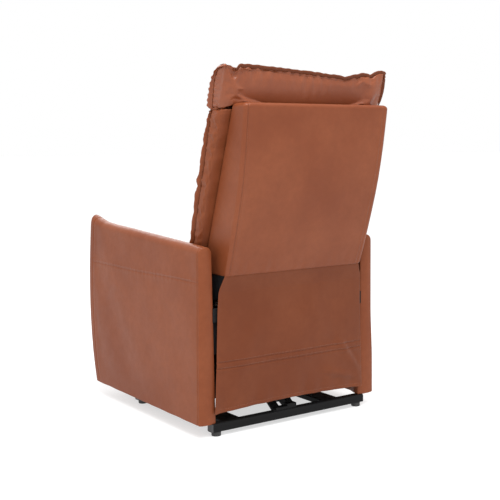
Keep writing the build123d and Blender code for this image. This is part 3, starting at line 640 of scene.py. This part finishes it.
def outward(points):
    """Outward unit normals of a closed cushion grid."""
    normals = grid_normals(points, wrap=True)
    centre = points.mean(axis=(0, 1))
    facing = ((points - centre) * normals).sum(axis=2).mean()
    return normals if facing > 0 else -normals


def cushion_piece(name, points, body, replaced, material="leather"):
    rows, columns = points.shape[:2]
    piece = make_mesh(name, points.reshape(-1, 3), grid_faces(rows, columns, wrap=True), merge=0.05 * MM)
    dress(piece, material)
    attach(piece, body)
    if replaced:
        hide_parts(replaced)
    return piece


def welt_piece(
    name, paths, body, half_side, half_up, seed, wobble=(0.25 * MM, 22 * MM), wave=0.14, taper=(0, 0)
):
    """Piping or a folded seam flange along one or more lines: each path is (points, outward directions).

    Its height wobbles by wobble[0] about every wobble[1], its width varies by the share wave, and it
    thins over the lengths in taper at its two ends.
    """
    spacing = 3 * MM
    vertices, faces = [], []
    for number, (path, up) in enumerate(paths):
        path = np.asarray(path, float)
        up = np.broadcast_to(np.asarray(up, float), path.shape)
        line = resample(path, spacing)
        share = np.linspace(0, 1, len(line))
        old = np.linspace(0, 1, len(path))
        rise = np.stack([np.interp(share, old, up[:, k]) for k in range(3)], axis=1)
        run = np.arange(len(line)) * spacing
        swell = 1 + wave * ripple(run, 16 * MM, seed + number)
        if taper[0]:
            swell *= 0.15 + 0.85 * smooth(run, 0, taper[0]) * smooth(run[-1] - run, 0, taper[1])
        line = line + rise * (wobble[0] * ripple(run, wobble[1], seed + 9 + number))[:, None]
        append_mesh(vertices, faces, *sweep(line, rise, half_side * swell, half_up * swell))
    piece = make_mesh(name, vertices, faces, merge=1e-7)
    # painted shade: the welt material is the leather darkened to look shaded
    dress(piece, "welt")
    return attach(piece, body)


# ---- backrest

# Side-view stations (front, side seam, rear) up the back cushion, in millimetres.
BACK_STATIONS = (
    ((146, 468), (146, 468), (146, 468)),
    ((112, 470), (138, 470), (178, 470)),
    ((92, 490), (141, 490), (192, 488)),
    ((96, 545), (163, 545), (211, 545)),
    ((113, 610), (189, 610), (234, 610)),
    ((149, 700), (223, 700), (266, 700)),
    ((188, 792), (252, 792), (298, 792)),
    ((226, 885), (277, 885), (331, 885)),
    ((252, 950), (291, 950), (355, 950)),
    ((264, 984), (297, 984), (367, 984)),
    ((272, 996), (299, 997), (371, 997)),
    ((286, 1000), (302, 1000), (370, 1000)),
    ((330, 1000.8), (330, 1000.8), (330, 1000.8)),
)
BACK_HALF_WIDTHS = (286, 290, 293, 294, 302, 311, 314, 315, 314, 311, 308, 304, 298)
HEAD_STATIONS = (
    ((330, 1001.2), (330, 1001.2), (330, 1001.2)),
    ((283, 1002), (303, 1002), (371, 1002)),
    ((268, 1006), (300, 1005), (378, 1006)),
    ((264, 1018), (301, 1017), (385, 1017)),
    ((270, 1042), (307, 1040), (393, 1040)),
    ((286, 1070), (314, 1068), (401, 1068)),
    ((308, 1096), (327, 1094), (405, 1094)),
    ((340, 1114), (352, 1114), (404, 1112)),
    ((394, 1119), (394, 1119), (394, 1119)),
)
HEAD_HALF_WIDTHS = (299, 304, 306, 308, 310, 312, 313, 314, 314)


def back_cushion():
    rows, columns = 80, 152
    points = lofted_cushion(BACK_STATIONS, BACK_HALF_WIDTHS, (4.5, 10.0), (9.0, 1.0), rows, columns)
    rows, columns = points.shape[:2]
    against_shell = np.zeros((rows, columns))
    against_shell[:, columns // 2 + 8 : columns - 7] = 1
    puffed = inflate(points, held_seams(rows, columns, against_shell), 3.0, 24 * MM)
    fine = refine_grid(puffed, 2)
    normals = outward(fine)
    side = seam_distance(fine)
    top = end_distance(fine, -1)
    bottom = end_distance(fine, 0)
    ahead = smooth(-normals[..., 1], -0.35, 0.1)
    height = gather(side, fine[..., 2], 11, height=1.3 * MM)
    height += 2.4 * MM * ripple(fine[..., 2], 58 * MM, 13) * bell(side - 26 * MM, 26 * MM) * ahead
    height += gather(top, fine[..., 0], 23, height=1.2 * MM, reach=26 * MM)
    height -= 6.0 * MM * bell(side, 4.5 * MM)
    height += 1.3 * MM * ripple(fine[..., 2] + 0.35 * np.abs(fine[..., 0]), 95 * MM, 31) * smooth(side, 0.01, 0.06)
    height *= smooth(bottom, 0, 0.01) * smooth(top, 0, 0.006)
    fine = fine + normals * height[..., None]
    cushion_piece("back_cushion_cover", fine, "backrest", "back_cushion")
    return fine


def top_edge_height(x):
    """Rise of the head cushion's top edge over its station height, with its dips and corner ears."""
    right = ((-325, 6), (-312, 9), (-284, 7), (-266, 1), (-250, -8), (-236, -3), (-206, -5), (-178, -11))
    middle = ((-145, -18), (-111, -13), (-77, -12), (-12, -6), (52, -3), (116, 1), (190, 5), (240, 7))
    left = ((266, 7), (286, -7), (298, 8), (312, 11), (325, 8))
    return (np.interp(x / MM, *zip(*right, *middle, *left)) + 0.8 * ripple(x / MM, 40, 5)) * MM


def head_cushion():
    rows, columns = 48, 168
    points = lofted_cushion(HEAD_STATIONS, HEAD_HALF_WIDTHS, (4.5, 7.0), (6.0, 1.0), rows, columns)
    share = smooth(points[..., 2], 1.045, 1.119)
    points[..., 2] += share * top_edge_height(points[..., 0])
    right_corner_reach = 8 * MM
    points[..., 0] -= right_corner_reach * smooth(-points[..., 0], 0.20, 0.31)
    rows, columns = points.shape[:2]
    puffed = inflate(points, held_seams(rows, columns), 2.0, 12 * MM)
    fine = refine_grid(puffed, 2)
    normals = outward(fine)
    side = seam_distance(fine)
    top = end_distance(fine, -1)
    bottom = end_distance(fine, 0)
    height = gather(top, fine[..., 0], 41, height=1.8 * MM, reach=24 * MM, wavelength=40 * MM)
    ahead = smooth(-normals[..., 1], -0.35, 0.1)
    height += gather(side, fine[..., 2], 47, height=1.2 * MM, reach=20 * MM, wavelength=24 * MM)
    height += 1.8 * MM * ripple(fine[..., 2], 20 * MM, 49) * bell(side - 18 * MM, 16 * MM) * ahead
    behind = smooth(normals[..., 1], 0.2, 0.7)
    height += 2.4 * MM * ripple(fine[..., 0], 46 * MM, 43) * bell(top - 34 * MM, 24 * MM) * behind
    height -= 5.5 * MM * bell(side, 4.5 * MM)
    height *= smooth(bottom, 0, 0.006) * smooth(top, 0, 0.006)
    fine = fine + normals * height[..., None]
    # painted light: the head cushion wears the lightened leather copy
    cushion_piece("head_cushion_cover", fine, "backrest", "head_cushion", "head_leather")
    return fine


def seam_column(points, column, push):
    """The line of a side seam with the direction straight away from the cushion's middle."""
    path = points[:, column]
    sideways = np.sign(path[len(path) // 2, 0])
    out = np.tile([sideways, 0.0, 0.0], (len(path), 1))
    return path + out * push, out


def back_welts(back, head):
    """Seam piping down both cushions' sides, and the flange along the head cushion's top and right edges."""
    lines = []
    for points in (back, head):
        for column in (0, points.shape[1] // 2):
            path, out = seam_column(points, column, 0.5 * MM)
            lines.append((path[6:-4], out[6:-4]))
    welt_piece("back_cushion_welt", lines, "backrest", 1.5 * MM, 1.8 * MM, 3)
    middle = head[head.shape[0] // 2]
    right = int(np.argmax(middle[:, 1] - middle[:, 0]))
    ridge = head[-1, : head.shape[1] // 2 + 1]
    over = ridge[(ridge[:, 0] < 286 * MM) & (ridge[:, 0] > -306 * MM)]
    down = head[-9:-76:-3, right]
    path = np.concatenate([over, down])
    upward, outward_right = (0, 0.3, 1), (-0.9, 0.42, 0.12)
    turn = np.concatenate([np.tile(upward, (len(over), 1)), np.tile(outward_right, (len(down), 1))])
    turn /= np.linalg.norm(turn, axis=1, keepdims=True)
    flange = [(path + turn * 3.0 * MM, turn)]
    shape = {"wobble": (0.4 * MM, 70 * MM), "wave": 0.03, "taper": (16 * MM, 60 * MM)}
    welt_piece("head_top_flange", flange, "backrest", 2.6 * MM, 6.4 * MM, 19, **shape)


SHELL_FRONT = ((488.0, 1019.0), (192.5, 380.0))
SHELL_REAR_Z = (490, 549, 608, 671, 733, 786, 839, 892, 944, 982, 1019)
SHELL_REAR_Y = (320, 340.2, 359, 377.7, 395, 407.6, 418, 426.8, 434, 439.2, 443.5)
SHELL_RIGHT_WIDER = 1.028
SHELL_BOTTOM, SHELL_TOP = 490.0, 1019.0
SHELL_LEATHER = 2.2


def shell_section(z, corner, inset_side, inset_rear):
    """U-shaped section of the backrest shell in plan: left front edge, rear face, right front edge."""
    front = np.interp(z, *SHELL_FRONT)
    rear = np.interp(z, SHELL_REAR_Z, SHELL_REAR_Y) - inset_rear
    half = np.interp(z, (SHELL_BOTTOM, SHELL_TOP), (271, 284)) - inset_side
    side_steps = np.linspace(0, 1, 12)[:-1]
    left = [(half, front + (rear - corner - front) * t) for t in side_steps]
    turn = np.linspace(0, np.pi / 2, 9)
    left += [(half - corner + corner * math.cos(a), rear - corner + corner * math.sin(a)) for a in turn]
    seam = 3.0
    before, after, away = seam - 1.5, seam + 1.5, seam + 20
    spans = spread((0, before, 2), (before, after, 4), (after, away, 4), (away, half - corner, 26))
    left += [(half - corner - d, rear) for d in spans[1:]]
    right = [(-SHELL_RIGHT_WIDER * x, y) for x, y in left[-2::-1]]
    return np.array(left + right)


def back_shell():
    """Leather pulled tight over the backrest's rear: soft top corners and a stitched seam at each rear corner."""
    corner, top_round, elevation_round = 10.0, 12.0, 14.0
    shoulder = SHELL_TOP - elevation_round

    def narrowing(z):
        rise = min(max(0.0, z - shoulder), elevation_round)
        return elevation_round - math.sqrt(max(0.0, elevation_round**2 - rise**2))

    rows = []
    curl = SHELL_BOTTOM + 14
    for z in spread((SHELL_BOTTOM, curl, 4), (curl, shoulder, 44), (shoulder, SHELL_TOP - top_round, 5)):
        lip = 2.0 * (1 - min(1.0, (z - SHELL_BOTTOM) / 5)) ** 2
        rows.append((z, narrowing(z) + lip, lip))
    for a in np.linspace(0, np.pi / 2, 9)[1:]:
        z = SHELL_TOP - top_round + top_round * math.sin(a)
        rows.append((z, narrowing(z), top_round * (1 - math.cos(a))))
    for inset in np.linspace(14, 50, 7):
        rows.append((SHELL_TOP - 0.10 * (inset - 8), elevation_round + inset - 9, inset))
    sections = [shell_section(z, corner, narrow, rear) for z, narrow, rear in rows]
    points = np.array([[(x, y, row[0]) for x, y in section] for section, row in zip(sections, rows)]) * MM
    normals = grid_normals(points)
    if normals[20, points.shape[1] // 2, 1] < 0:
        normals = -normals
    x, z = points[..., 0], points[..., 2]
    rear_face = smooth(normals[..., 1], 0.5, 0.95)
    half = np.abs(points[:, :1, 0])
    seam_gap = np.abs(np.abs(x) - (half - (corner + 3.0) * MM))
    height = -1.5 * MM * bell(seam_gap, 1.8 * MM) * rear_face
    height += 0.8 * MM * bell(seam_gap - 5 * MM, 5 * MM) * rear_face
    crown = np.clip(1 - (x / 0.275) ** 2, 0, 1) * np.sin(np.pi * np.clip((z - 0.49) / 0.52, 0, 1)) ** 0.7
    height += 3.0 * MM * crown * rear_face
    height += 0.5 * MM * ripple(x + 0.4 * z, 190 * MM, 61) * rear_face * crown
    pulled = bell(z - 0.492, 45 * MM) * rear_face
    height += 0.8 * MM * ripple(x, 46 * MM, 63) * pulled
    points = points + normals * height[..., None]
    count = points.shape[1]
    piece = make_mesh("back_shell_cover", points.reshape(-1, 3), grid_faces(len(points), count))
    thicken(piece, SHELL_LEATHER * MM)
    # painted light: the shell wears the lightened leather copy
    dress(piece, "shell_leather")
    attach(piece, "backrest")
    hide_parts("back_shell")
    subdivide(piece)
    lines = []
    for sign in (-1, 1):
        line = []
        for section, row in zip(points, rows):
            if row[0] < shoulder:
                target = section[0, 0] - (corner + 6.2) * MM
                not_rear = section[:, 1] < section[len(section) // 2, 1] - 4 * MM
                line.append(section[np.argmin(np.abs(sign * section[:, 0] - target) + not_rear)])
        lines.append((np.array(line), (0, 0.99, -0.1)))
    stitches("back_shell_stitches", lines, "backrest")


def shell_tongues():
    """Dark lining tongues at the foot of the backrest's sides, which close the view over the seat box: black sheets
    that paint the shade in that gap.
    """
    for side, name in ((1, "back_left_tongue"), (-1, "back_right_tongue")):
        share_y, share_z = np.meshgrid(np.linspace(0, 1, 16), np.linspace(0, 1, 14))
        top_y = 200 + 112 * share_y
        low_y = 186 + 112 * share_y
        y = low_y + (top_y - low_y) * share_z
        z = 404 + 96 * share_z + 10 * share_y * (1 - share_z)
        x = 268.5 - 1.2 * (1 - share_z) + 0.5 * np.sin(9 * share_y)
        points = np.stack([side * x, y, z], axis=2) * MM
        piece = make_mesh(name, points.reshape(-1, 3), grid_faces(14, 16))
        thicken(piece, 2.0 * MM)
        # painted shade: black lining stands in for the shade seen in the gap
        dress(piece, "black_lining")
        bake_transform(piece)


# ---- arms

ARM_CENTRE = 328.0
ARM_HALF = 23.6
ARM_REAR = 295.0
ARM_BOTTOM = 40.0
ARM_LENGTH = 735.0


def arm_top(y):
    """Height of the arm's top edge: nearly level, then sweeping up to a point at the front."""
    known_y = (-434, -390, -345, -260, -168, -70, 25, 160, 295)
    return np.interp(y, known_y, (636, 624.5, 616, 610.5, 607, 601.5, 597, 590, 583))


def arm_front(z):
    """Bowed front edge of the arm."""
    known_z = (40, 95, 152, 210, 266, 323, 380, 440, 500, 560, 600, 636)
    known_y = (-396, -413, -427, -437, -444, -448.5, -450.5, -450.5, -448, -444, -440, -435)
    return np.interp(z, known_z, known_y)


def arm_seam(share):
    """Height of the side seam, by the share of the arm's length from its rear."""
    return 474 - 7 * share + 1.5 * np.sin(9 * share)


def arm_cover(name, side, node):
    """Leather over a flat padded panel: rounded top and front, flat rear band, seams along the side and ends."""
    rear_round, front_round = 5.5, 16.0
    from_rear = spread((0, rear_round, 5), (rear_round, 7, 1), (7, 11, 4), (11, 40, 4), (40, 640, 76))
    from_front = spread((0, 0.35, 1), (0.35, 1.4, 1), (1.4, 3.2, 1), (3.2, 5.8, 1), (5.8, front_round, 6),
                        (front_round, 34, 2), (34, 41, 7), (41, 89, 6))
    lengths = np.concatenate([from_rear, (ARM_LENGTH - from_front)[::-1][1:]])
    low = spread((0, 3, 3), (3, 8, 3), (8, 60, 6), (60, 400, 40), (400, 424, 4), (424, 432, 5)) / 432
    high = spread((0, 8, 5), (8, 30, 4), (30, 90, 8)) / 90
    arc = np.linspace(0, np.pi, 23)
    grid = []
    for length in lengths:
        share = length / ARM_LENGTH
        top = arm_top(ARM_REAR - length)
        seam = arm_seam(share)
        near_front = ARM_LENGTH - length
        narrowing = 1.0
        if near_front < front_round:
            narrowing = math.sqrt(max(0.0, 1 - (1 - near_front / front_round) ** 2))
        corner = 0.0
        if length < rear_round:
            corner = rear_round - math.sqrt(rear_round**2 - (rear_round - length) ** 2)
        half = (ARM_HALF - corner) * narrowing
        shoulder = top - half
        below = ARM_BOTTOM + (seam - ARM_BOTTOM) * low
        above = seam + (shoulder - seam) * high[1:]
        heights = np.concatenate([below, above])
        widths = np.full(len(heights), half)
        rise = heights - ARM_BOTTOM
        foot = rise < 3
        widths[foot] -= (3 - np.sqrt(9 - (3 - rise[foot]) ** 2)) * narrowing
        column = list(zip(widths, heights))
        column += [(half * math.cos(a), shoulder + half * math.sin(a)) for a in arc[1:-1]]
        column += list(zip(-widths, heights))[::-1]
        column = np.array(column)
        y = ARM_REAR + (arm_front(column[:, 1]) - ARM_REAR) * share
        grid.append(np.stack([column[:, 0], y, column[:, 1]], axis=1))
    points = np.array(grid)
    x, y, z = points[..., 0], points[..., 1], points[..., 2]
    length = np.repeat(lengths[:, None], points.shape[1], axis=1)
    ahead = ARM_LENGTH - length
    outer = np.sign(x) * smooth(np.abs(x), 6, 16)
    from_seam = z - arm_seam(length / ARM_LENGTH)
    flat = smooth(length, 8, 50) * smooth(ahead, 38, 90)
    puff = -1.3 * bell(from_seam, 1.8) * smooth(ahead, 37, 42) * smooth(length, 8, 12)
    puff += 0.7 * bell(np.abs(from_seam) - 7, 6) * flat
    puff += 0.55 * ripple(y, 21, 71) * bell(from_seam, 15) * flat
    puff -= 1.7 * bell(ahead - 37.5, 2.0) * smooth(z, 40, 60)
    puff += 0.7 * bell(ahead - 47, 9) * smooth(z, 50, 90)
    puff += 0.6 * ripple(z, 26, 73) * bell(ahead - 42, 14) * smooth(z, 440, 560)
    puff -= 1.9 * bell(length - 8.5, 1.7)
    puff += 0.8 * ripple(y * 0.8 + z * 0.6, 210, 75) * flat * smooth(z, 60, 140)
    puff += 0.8 * ripple(z + 0.4 * y, 17, 79) * bell(ahead, 60) * smooth(z, 560, 620)
    flare = 15 * (583 - z) / 543 * (x < 0) * smooth(np.abs(x), 4, 20) * (1 - smooth(length, 14, 70))
    points[..., 0] = x + outer * puff - flare
    if side < 0:
        right_foot_lean = 6
        points[..., 0] += right_foot_lean * smooth(-z, -340, -150) * smooth(x, 4, 20)
    sag = 3.5 * length / ARM_LENGTH - 1.5
    points[..., 2] = z + (sag + 0.6 * ripple(y, 120, 77) * smooth(length, 5, 60)) * bell(z - ARM_BOTTOM, 60)
    over_top = smooth(np.abs(x), 20, 8) * (z > 520)
    rounded = -1.6 * bell(length - 8.5, 1.7) - 1.5 * bell(ahead - 37.5, 2.0)
    points[..., 2] += over_top * rounded
    count = points.shape[1]
    vertices = [tuple(p) for p in points.reshape(-1, 3)]
    faces = grid_faces(len(points), count)
    across = np.linspace(0, 1, 9)
    rear_crown = 2.6
    start = len(vertices)
    pairs = count // 2 + 1
    for k in range(pairs):
        a, b = points[0, k], points[0, count - 1 - k]
        for t in across:
            bulge = rear_crown * (1 - (2 * t - 1) ** 2) * min(1.0, abs(a[0] - b[0]) / 30)
            vertices.append(tuple(a + (b - a) * t + (0, bulge, 0)))
    faces += grid_faces(pairs, len(across), first=start)
    start = len(vertices)
    for row in points:
        vertices += [tuple(row[0] + (row[-1] - row[0]) * t) for t in across]
    faces += grid_faces(len(points), len(across), first=start)
    world = [((side * (ARM_CENTRE + vx)) * MM, vy * MM, vz * MM) for vx, vy, vz in vertices]
    piece = make_mesh(name, world, faces, merge=0.04 * MM)
    dress(piece, "leather")
    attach(piece, "chassis")
    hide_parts(node)
    subdivide(piece)
    seam_row = len(low) - 1
    lines = []
    for row, out in ((seam_row + 3, 1), (count - 1 - seam_row - 3, -1)):
        run = points[14:-20, row]
        offset = np.array([out * 0.1, 0, 0])
        line = (run + offset) * [side, 1, 1] + [side * ARM_CENTRE, 0, 0]
        lines.append((line * MM, (side * out, 0, 0)))
    stitches(name.replace("cover", "stitches"), lines, "chassis")


# ---- seat and footrest

SEAT_STATIONS = (
    ((184, 422), (184, 422), (184, 422)),
    ((184, 444), (184, 428), (184, 394)),
    ((172, 457), (170, 433), (172, 385)),
    ((90, 462), (90, 436), (90, 385)),
    ((-20, 464), (-20, 438), (-20, 385)),
    ((-140, 465), (-140, 438), (-140, 385)),
    ((-250, 466), (-250, 437), (-250, 386)),
    ((-340, 465), (-338, 436), (-326, 398)),
    ((-392, 461), (-386, 433), (-372, 404)),
    ((-418, 448), (-410, 427), (-402, 404)),
    ((-430, 430), (-426, 422), (-420, 407)),
    ((-431, 418), (-431, 418), (-431, 418)),
)
SEAT_HALF_WIDTHS = (292, 296, 298, 299, 299, 299, 299, 299, 298, 296, 293, 290)
FOOT_STATIONS = (
    ((-386, 76), (-386, 76), (-386, 76)),
    ((-404, 78), (-386, 79), (-366, 79)),
    ((-418, 90), (-386, 90), (-356, 86)),
    ((-422, 120), (-386, 120), (-354, 118)),
    ((-423, 180), (-386, 180), (-354, 180)),
    ((-423, 232), (-386, 232), (-354, 232)),
    ((-423, 290), (-386, 290), (-354, 290)),
    ((-422, 342), (-386, 342), (-354, 345)),
    ((-418, 372), (-386, 372), (-356, 375)),
    ((-404, 384), (-386, 383), (-366, 383)),
    ((-386, 386), (-386, 386), (-386, 386)),
)
FOOT_HALF_WIDTHS = (286, 291, 295, 296, 296, 296, 296, 296, 295, 291, 286)


def seamed_pad(stations, half_widths, shape, rows, margin, pressure, seam_y=None):
    """Inflated pad whose rear face is held flat and whose front face is sewn across, with the seam's row."""
    points = lofted_cushion(stations, half_widths, *shape, rows, 144)
    rows, columns = points.shape[:2]
    seam_row = rows // 2
    if seam_y is not None:
        seam_row = int(np.argmin(np.abs(points[:, columns // 4, 1] - seam_y)))
    held = np.zeros((rows, columns))
    held[:, columns // 2 + margin : columns - margin] = 1
    held[seam_row, : columns // 2] = 1
    return inflate(points, held_seams(rows, columns, held), pressure, 22 * MM), seam_row


def seam_gap(fine, seam_row):
    """Distance of each point of a refined grid from the seam across it."""
    run = end_distance(fine, 0)
    return np.abs(run - run[2 * seam_row])


def pad_trim(name, fine, body, seed, seam_row, out, front=None):
    """Piping down both sides of a pad and, where front gives its direction, along its front edge; cross stitches."""
    half = fine.shape[1] // 2
    lines = []
    for column in (0, half):
        path, away = seam_column(fine, column, 0.2 * MM)
        lines.append((path[4:-4], away[4:-4]))
    if front:
        lines.append((fine[-1, 3 : half - 2], front))
    welt_piece(name + "_welt", lines, body, 2.2 * MM, 2.4 * MM, seed=seed)
    line = fine[2 * seam_row + 3, 12 : half - 11] + np.array(out) * 0.1 * MM
    stitches(name + "_stitches", [(line, out)], body)


def seat_cushion():
    puffed, seam_row = seamed_pad(SEAT_STATIONS, SEAT_HALF_WIDTHS, ((7.0, 10.0), (0.8, 0.5)), 66, 12, 3.0, -0.335)
    puffed[..., 0] = np.clip(puffed[..., 0], -301 * MM, 301 * MM)
    puffed[..., 2] = np.maximum(puffed[..., 2], 384.5 * MM)
    fine = refine_grid(puffed, 2)
    normals = outward(fine)
    x, y = fine[..., 0], fine[..., 1]
    side, front, cross = seam_distance(fine), end_distance(fine, -1), seam_gap(fine, seam_row)
    top_face = smooth(normals[..., 2], -0.2, 0.4)
    height = gather(side, y, 83, height=1.1 * MM, reach=22 * MM)
    height += gather(cross, x, 87, height=1.3 * MM, reach=26 * MM, wavelength=27 * MM) * top_face
    height -= 2.4 * MM * bell(cross, 3.5 * MM) * top_face
    height += 1.2 * MM * ripple(x + 0.5 * y, 150 * MM, 89) * top_face * smooth(side, 0.01, 0.07)
    height += gather(front, x, 91, height=0.8 * MM, reach=16 * MM)
    height -= 1.5 * MM * bell(side, 3.5 * MM)
    fine = fine + normals * height[..., None]
    cushion_piece("seat_cushion_cover", fine, "chassis", "seat_cushion")
    pad_trim("seat_cushion", fine, "chassis", 37, seam_row, (0, 0, 1.0), front=(0, -1.0, -0.2))


def footrest_pad():
    puffed, seam_row = seamed_pad(FOOT_STATIONS, FOOT_HALF_WIDTHS, ((7.0, 12.0), (1.0, 0.3)), 50, 10, 2.4)
    puffed[..., 0] = np.clip(puffed[..., 0], -299 * MM, 299 * MM)
    fine = refine_grid(puffed, 2)
    normals = outward(fine)
    side, cross = seam_distance(fine), seam_gap(fine, seam_row)
    front_face = smooth(-normals[..., 1], -0.2, 0.4)
    height = gather(side, fine[..., 2], 93, height=1.1 * MM, reach=22 * MM)
    height += gather(cross, fine[..., 0], 95, height=1.4 * MM, reach=26 * MM, wavelength=26 * MM) * front_face
    height -= 2.6 * MM * bell(cross, 3.5 * MM) * front_face
    height -= 1.5 * MM * bell(side, 3.5 * MM)
    fine = fine + normals * height[..., None]
    cushion_piece("footrest_pad_cover", fine, "footrest_panel", "footrest_pad")
    pad_trim("footrest_pad", fine, "footrest_panel", 39, seam_row, (0, -1.0, 0))


# ---- rear skirt

SKIRT_HEM = 68.0
SKIRT_LEATHER = 2.4
SKIRT_SEAMS = (225, 205)


def fold_ridge(x, z, start, end, width, height):
    """A soft fold of the leather along a straight line, fading at its ends."""
    ax, az = start
    dx, dz = end[0] - ax, end[1] - az
    size = math.hypot(dx, dz)
    along = ((x - ax) * dx + (z - az) * dz) / size
    off = ((x - ax) * dz - (z - az) * dx) / size
    ends = smooth(along, -0.2 * size, 0.25 * size) * (1 - smooth(along, 0.7 * size, 1.15 * size))
    return height * bell(off, width) * ends


def rear_skirt():
    """The leather flap that hangs from the backrest's lower edge and closes the chair's rear."""
    widths = np.linspace(-1, 1, 121)
    heights = spread(
        (0, 14, 5), (14, 130, 17), (130, 142, 8), (142, 150, 3), (150, 162, 8), (162, 372, 30), (372, 426, 14)
    )
    u, rise = np.meshgrid(widths, heights)
    z = SKIRT_HEM + rise
    cut = np.interp(z, (SKIRT_HEM, 220, 440, 452, 494), (299, 294, 288, 286, 271))
    x = u * cut
    hem_arch = 9 * (1 - u**2) * (1 - smooth(rise, 0, 240))
    z = z + hem_arch
    y = np.interp(z, (68, 120, 250, 380, 440, 475, 487, 500), (303.5, 303.5, 303.5, 304.5, 308, 314.5, 317.5, 318))
    loose = np.sin(np.pi * np.clip((z - 60) / 400, 0, 1)) ** 1.2 * (1 - np.abs(u) ** 3)
    y += 9 * loose
    y += 1.8 * ripple(x + 0.3 * z, 240, 101) * smooth(rise, 0, 60) * (1 - smooth(z, 380, 470))
    y += fold_ridge(x, z, (-190, 240), (-285, 120), 16, 5.0)
    y -= fold_ridge(x, z, (-225, 225), (-288, 150), 9, 3.2)
    y += fold_ridge(x, z, (-120, 150), (-286, 98), 13, 4.5)
    y -= fold_ridge(x, z, (-150, 122), (-287, 88), 8, 2.6)
    y += fold_ridge(x, z, (150, 330), (230, 130), 30, 3.0)
    y += fold_ridge(x, z, (-60, 380), (-150, 250), 34, 2.4)
    y += 2.2 * ripple(x, 90, 103) * bell(rise, 60)
    for seam in SKIRT_SEAMS:
        gap = z - (seam + 4 * u**2 - 3 + hem_arch)
        y += 1.0 * bell(np.abs(gap) - 6, 5) + 0.5 * ripple(x, 17, seam) * bell(gap, 12) - 1.5 * bell(gap, 1.8)
    y += 0.5 * bell(rise - 5, 5) - 0.9 * bell(rise - 12, 1.6)
    points = np.stack([x, y, z], axis=2) * MM
    piece = make_mesh("rear_skirt_flap", points.reshape(-1, 3), grid_faces(len(heights), len(widths)))
    thicken(piece, SKIRT_LEATHER * MM)
    subdivide(piece)
    # painted shade: the skirt wears the darkened leather copy
    dress(piece, "skirt_leather")
    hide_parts("rear_skirt")
    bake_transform(piece)
    lines = []
    for rise in [seam + 3.5 - SKIRT_HEM for seam in SKIRT_SEAMS] + [10]:
        row = int(np.argmin(np.abs(heights - rise)))
        lines.append((points[row, 2:-2] + np.array([0, 0.1 * MM, 0]), (0, 1.0, 0)))
    seams = stitches("rear_skirt_stitches", lines, "chassis")
    seams.parent = None
    del seams["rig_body"]
    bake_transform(seams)


# ---- stage


def camera():
    lens = bpy.data.cameras.new("camera")
    lens.lens = 70.62
    lens.sensor_width = 36
    lens.shift_y = -0.1857
    eye = bpy.data.objects.new("camera", lens)
    heading, pitch, roll = math.radians(35.60), math.radians(1.175), math.radians(-0.10)
    look = Vector((-math.sin(heading) * math.cos(pitch), -math.cos(heading) * math.cos(pitch), -math.sin(pitch)))
    turn = look.to_track_quat("-Z", "Y").to_matrix().to_4x4() @ Matrix.Rotation(roll, 4, "Z")
    eye.matrix_world = Matrix.Translation((1.9440, 2.7860, 0.9164)) @ turn
    bpy.context.scene.collection.objects.link(eye)
    bpy.context.scene.camera = eye


def area_light(name, place, target, size, power, colour=(1, 1, 1)):
    light = bpy.data.lights.new(name, "AREA")
    light.shape = "RECTANGLE"
    light.size, light.size_y = size
    light.energy = power
    light.color = colour
    lamp = bpy.data.objects.new(name, light)
    direction = Vector(target) - Vector(place)
    lamp.matrix_world = Matrix.Translation(place) @ direction.to_track_quat("-Z", "Y").to_matrix().to_4x4()
    bpy.context.scene.collection.objects.link(lamp)


def studio():
    """Plain pale floor, white surroundings and large soft lights."""
    floor = make_mesh("floor", [(-40, -40, 0), (40, -40, 0), (40, 40, 0), (-40, 40, 0)], [(0, 1, 2, 3)])
    floor.data.materials.append(floor_material("pale_floor"))
    world = bpy.data.worlds.new("white_studio")
    world.use_nodes = True
    world.node_tree.nodes["Background"].inputs["Color"].default_value = (1, 1, 1, 1)
    world.node_tree.nodes["Background"].inputs["Strength"].default_value = 1.0
    bpy.context.scene.world = world
    bpy.context.scene.view_settings.view_transform = "Standard"
    area_light("top_softbox", (0.6, 1.2, 3.6), (0, 0, 0.6), (2.2, 2.2), 115)
    area_light("left_softbox", (3.4, 1.0, 1.8), (0, 0, 0.6), (1.8, 2.2), 6)
    area_light("front_softbox", (-1.2, -3.2, 2.4), (0, 0, 0.6), (2.4, 2.0), 45)


# ---- the chair

camera()
make_materials()
dress_cad_nodes()
arm_cover("left_arm_cover_leather", 1, "left_arm_cover")
arm_cover("right_arm_cover_leather", -1, "right_arm_cover")
back = back_cushion()
head = head_cushion()
back_welts(back, head)
back_shell()
shell_tongues()
rear_skirt()
seat_cushion()
footrest_pad()
studio()
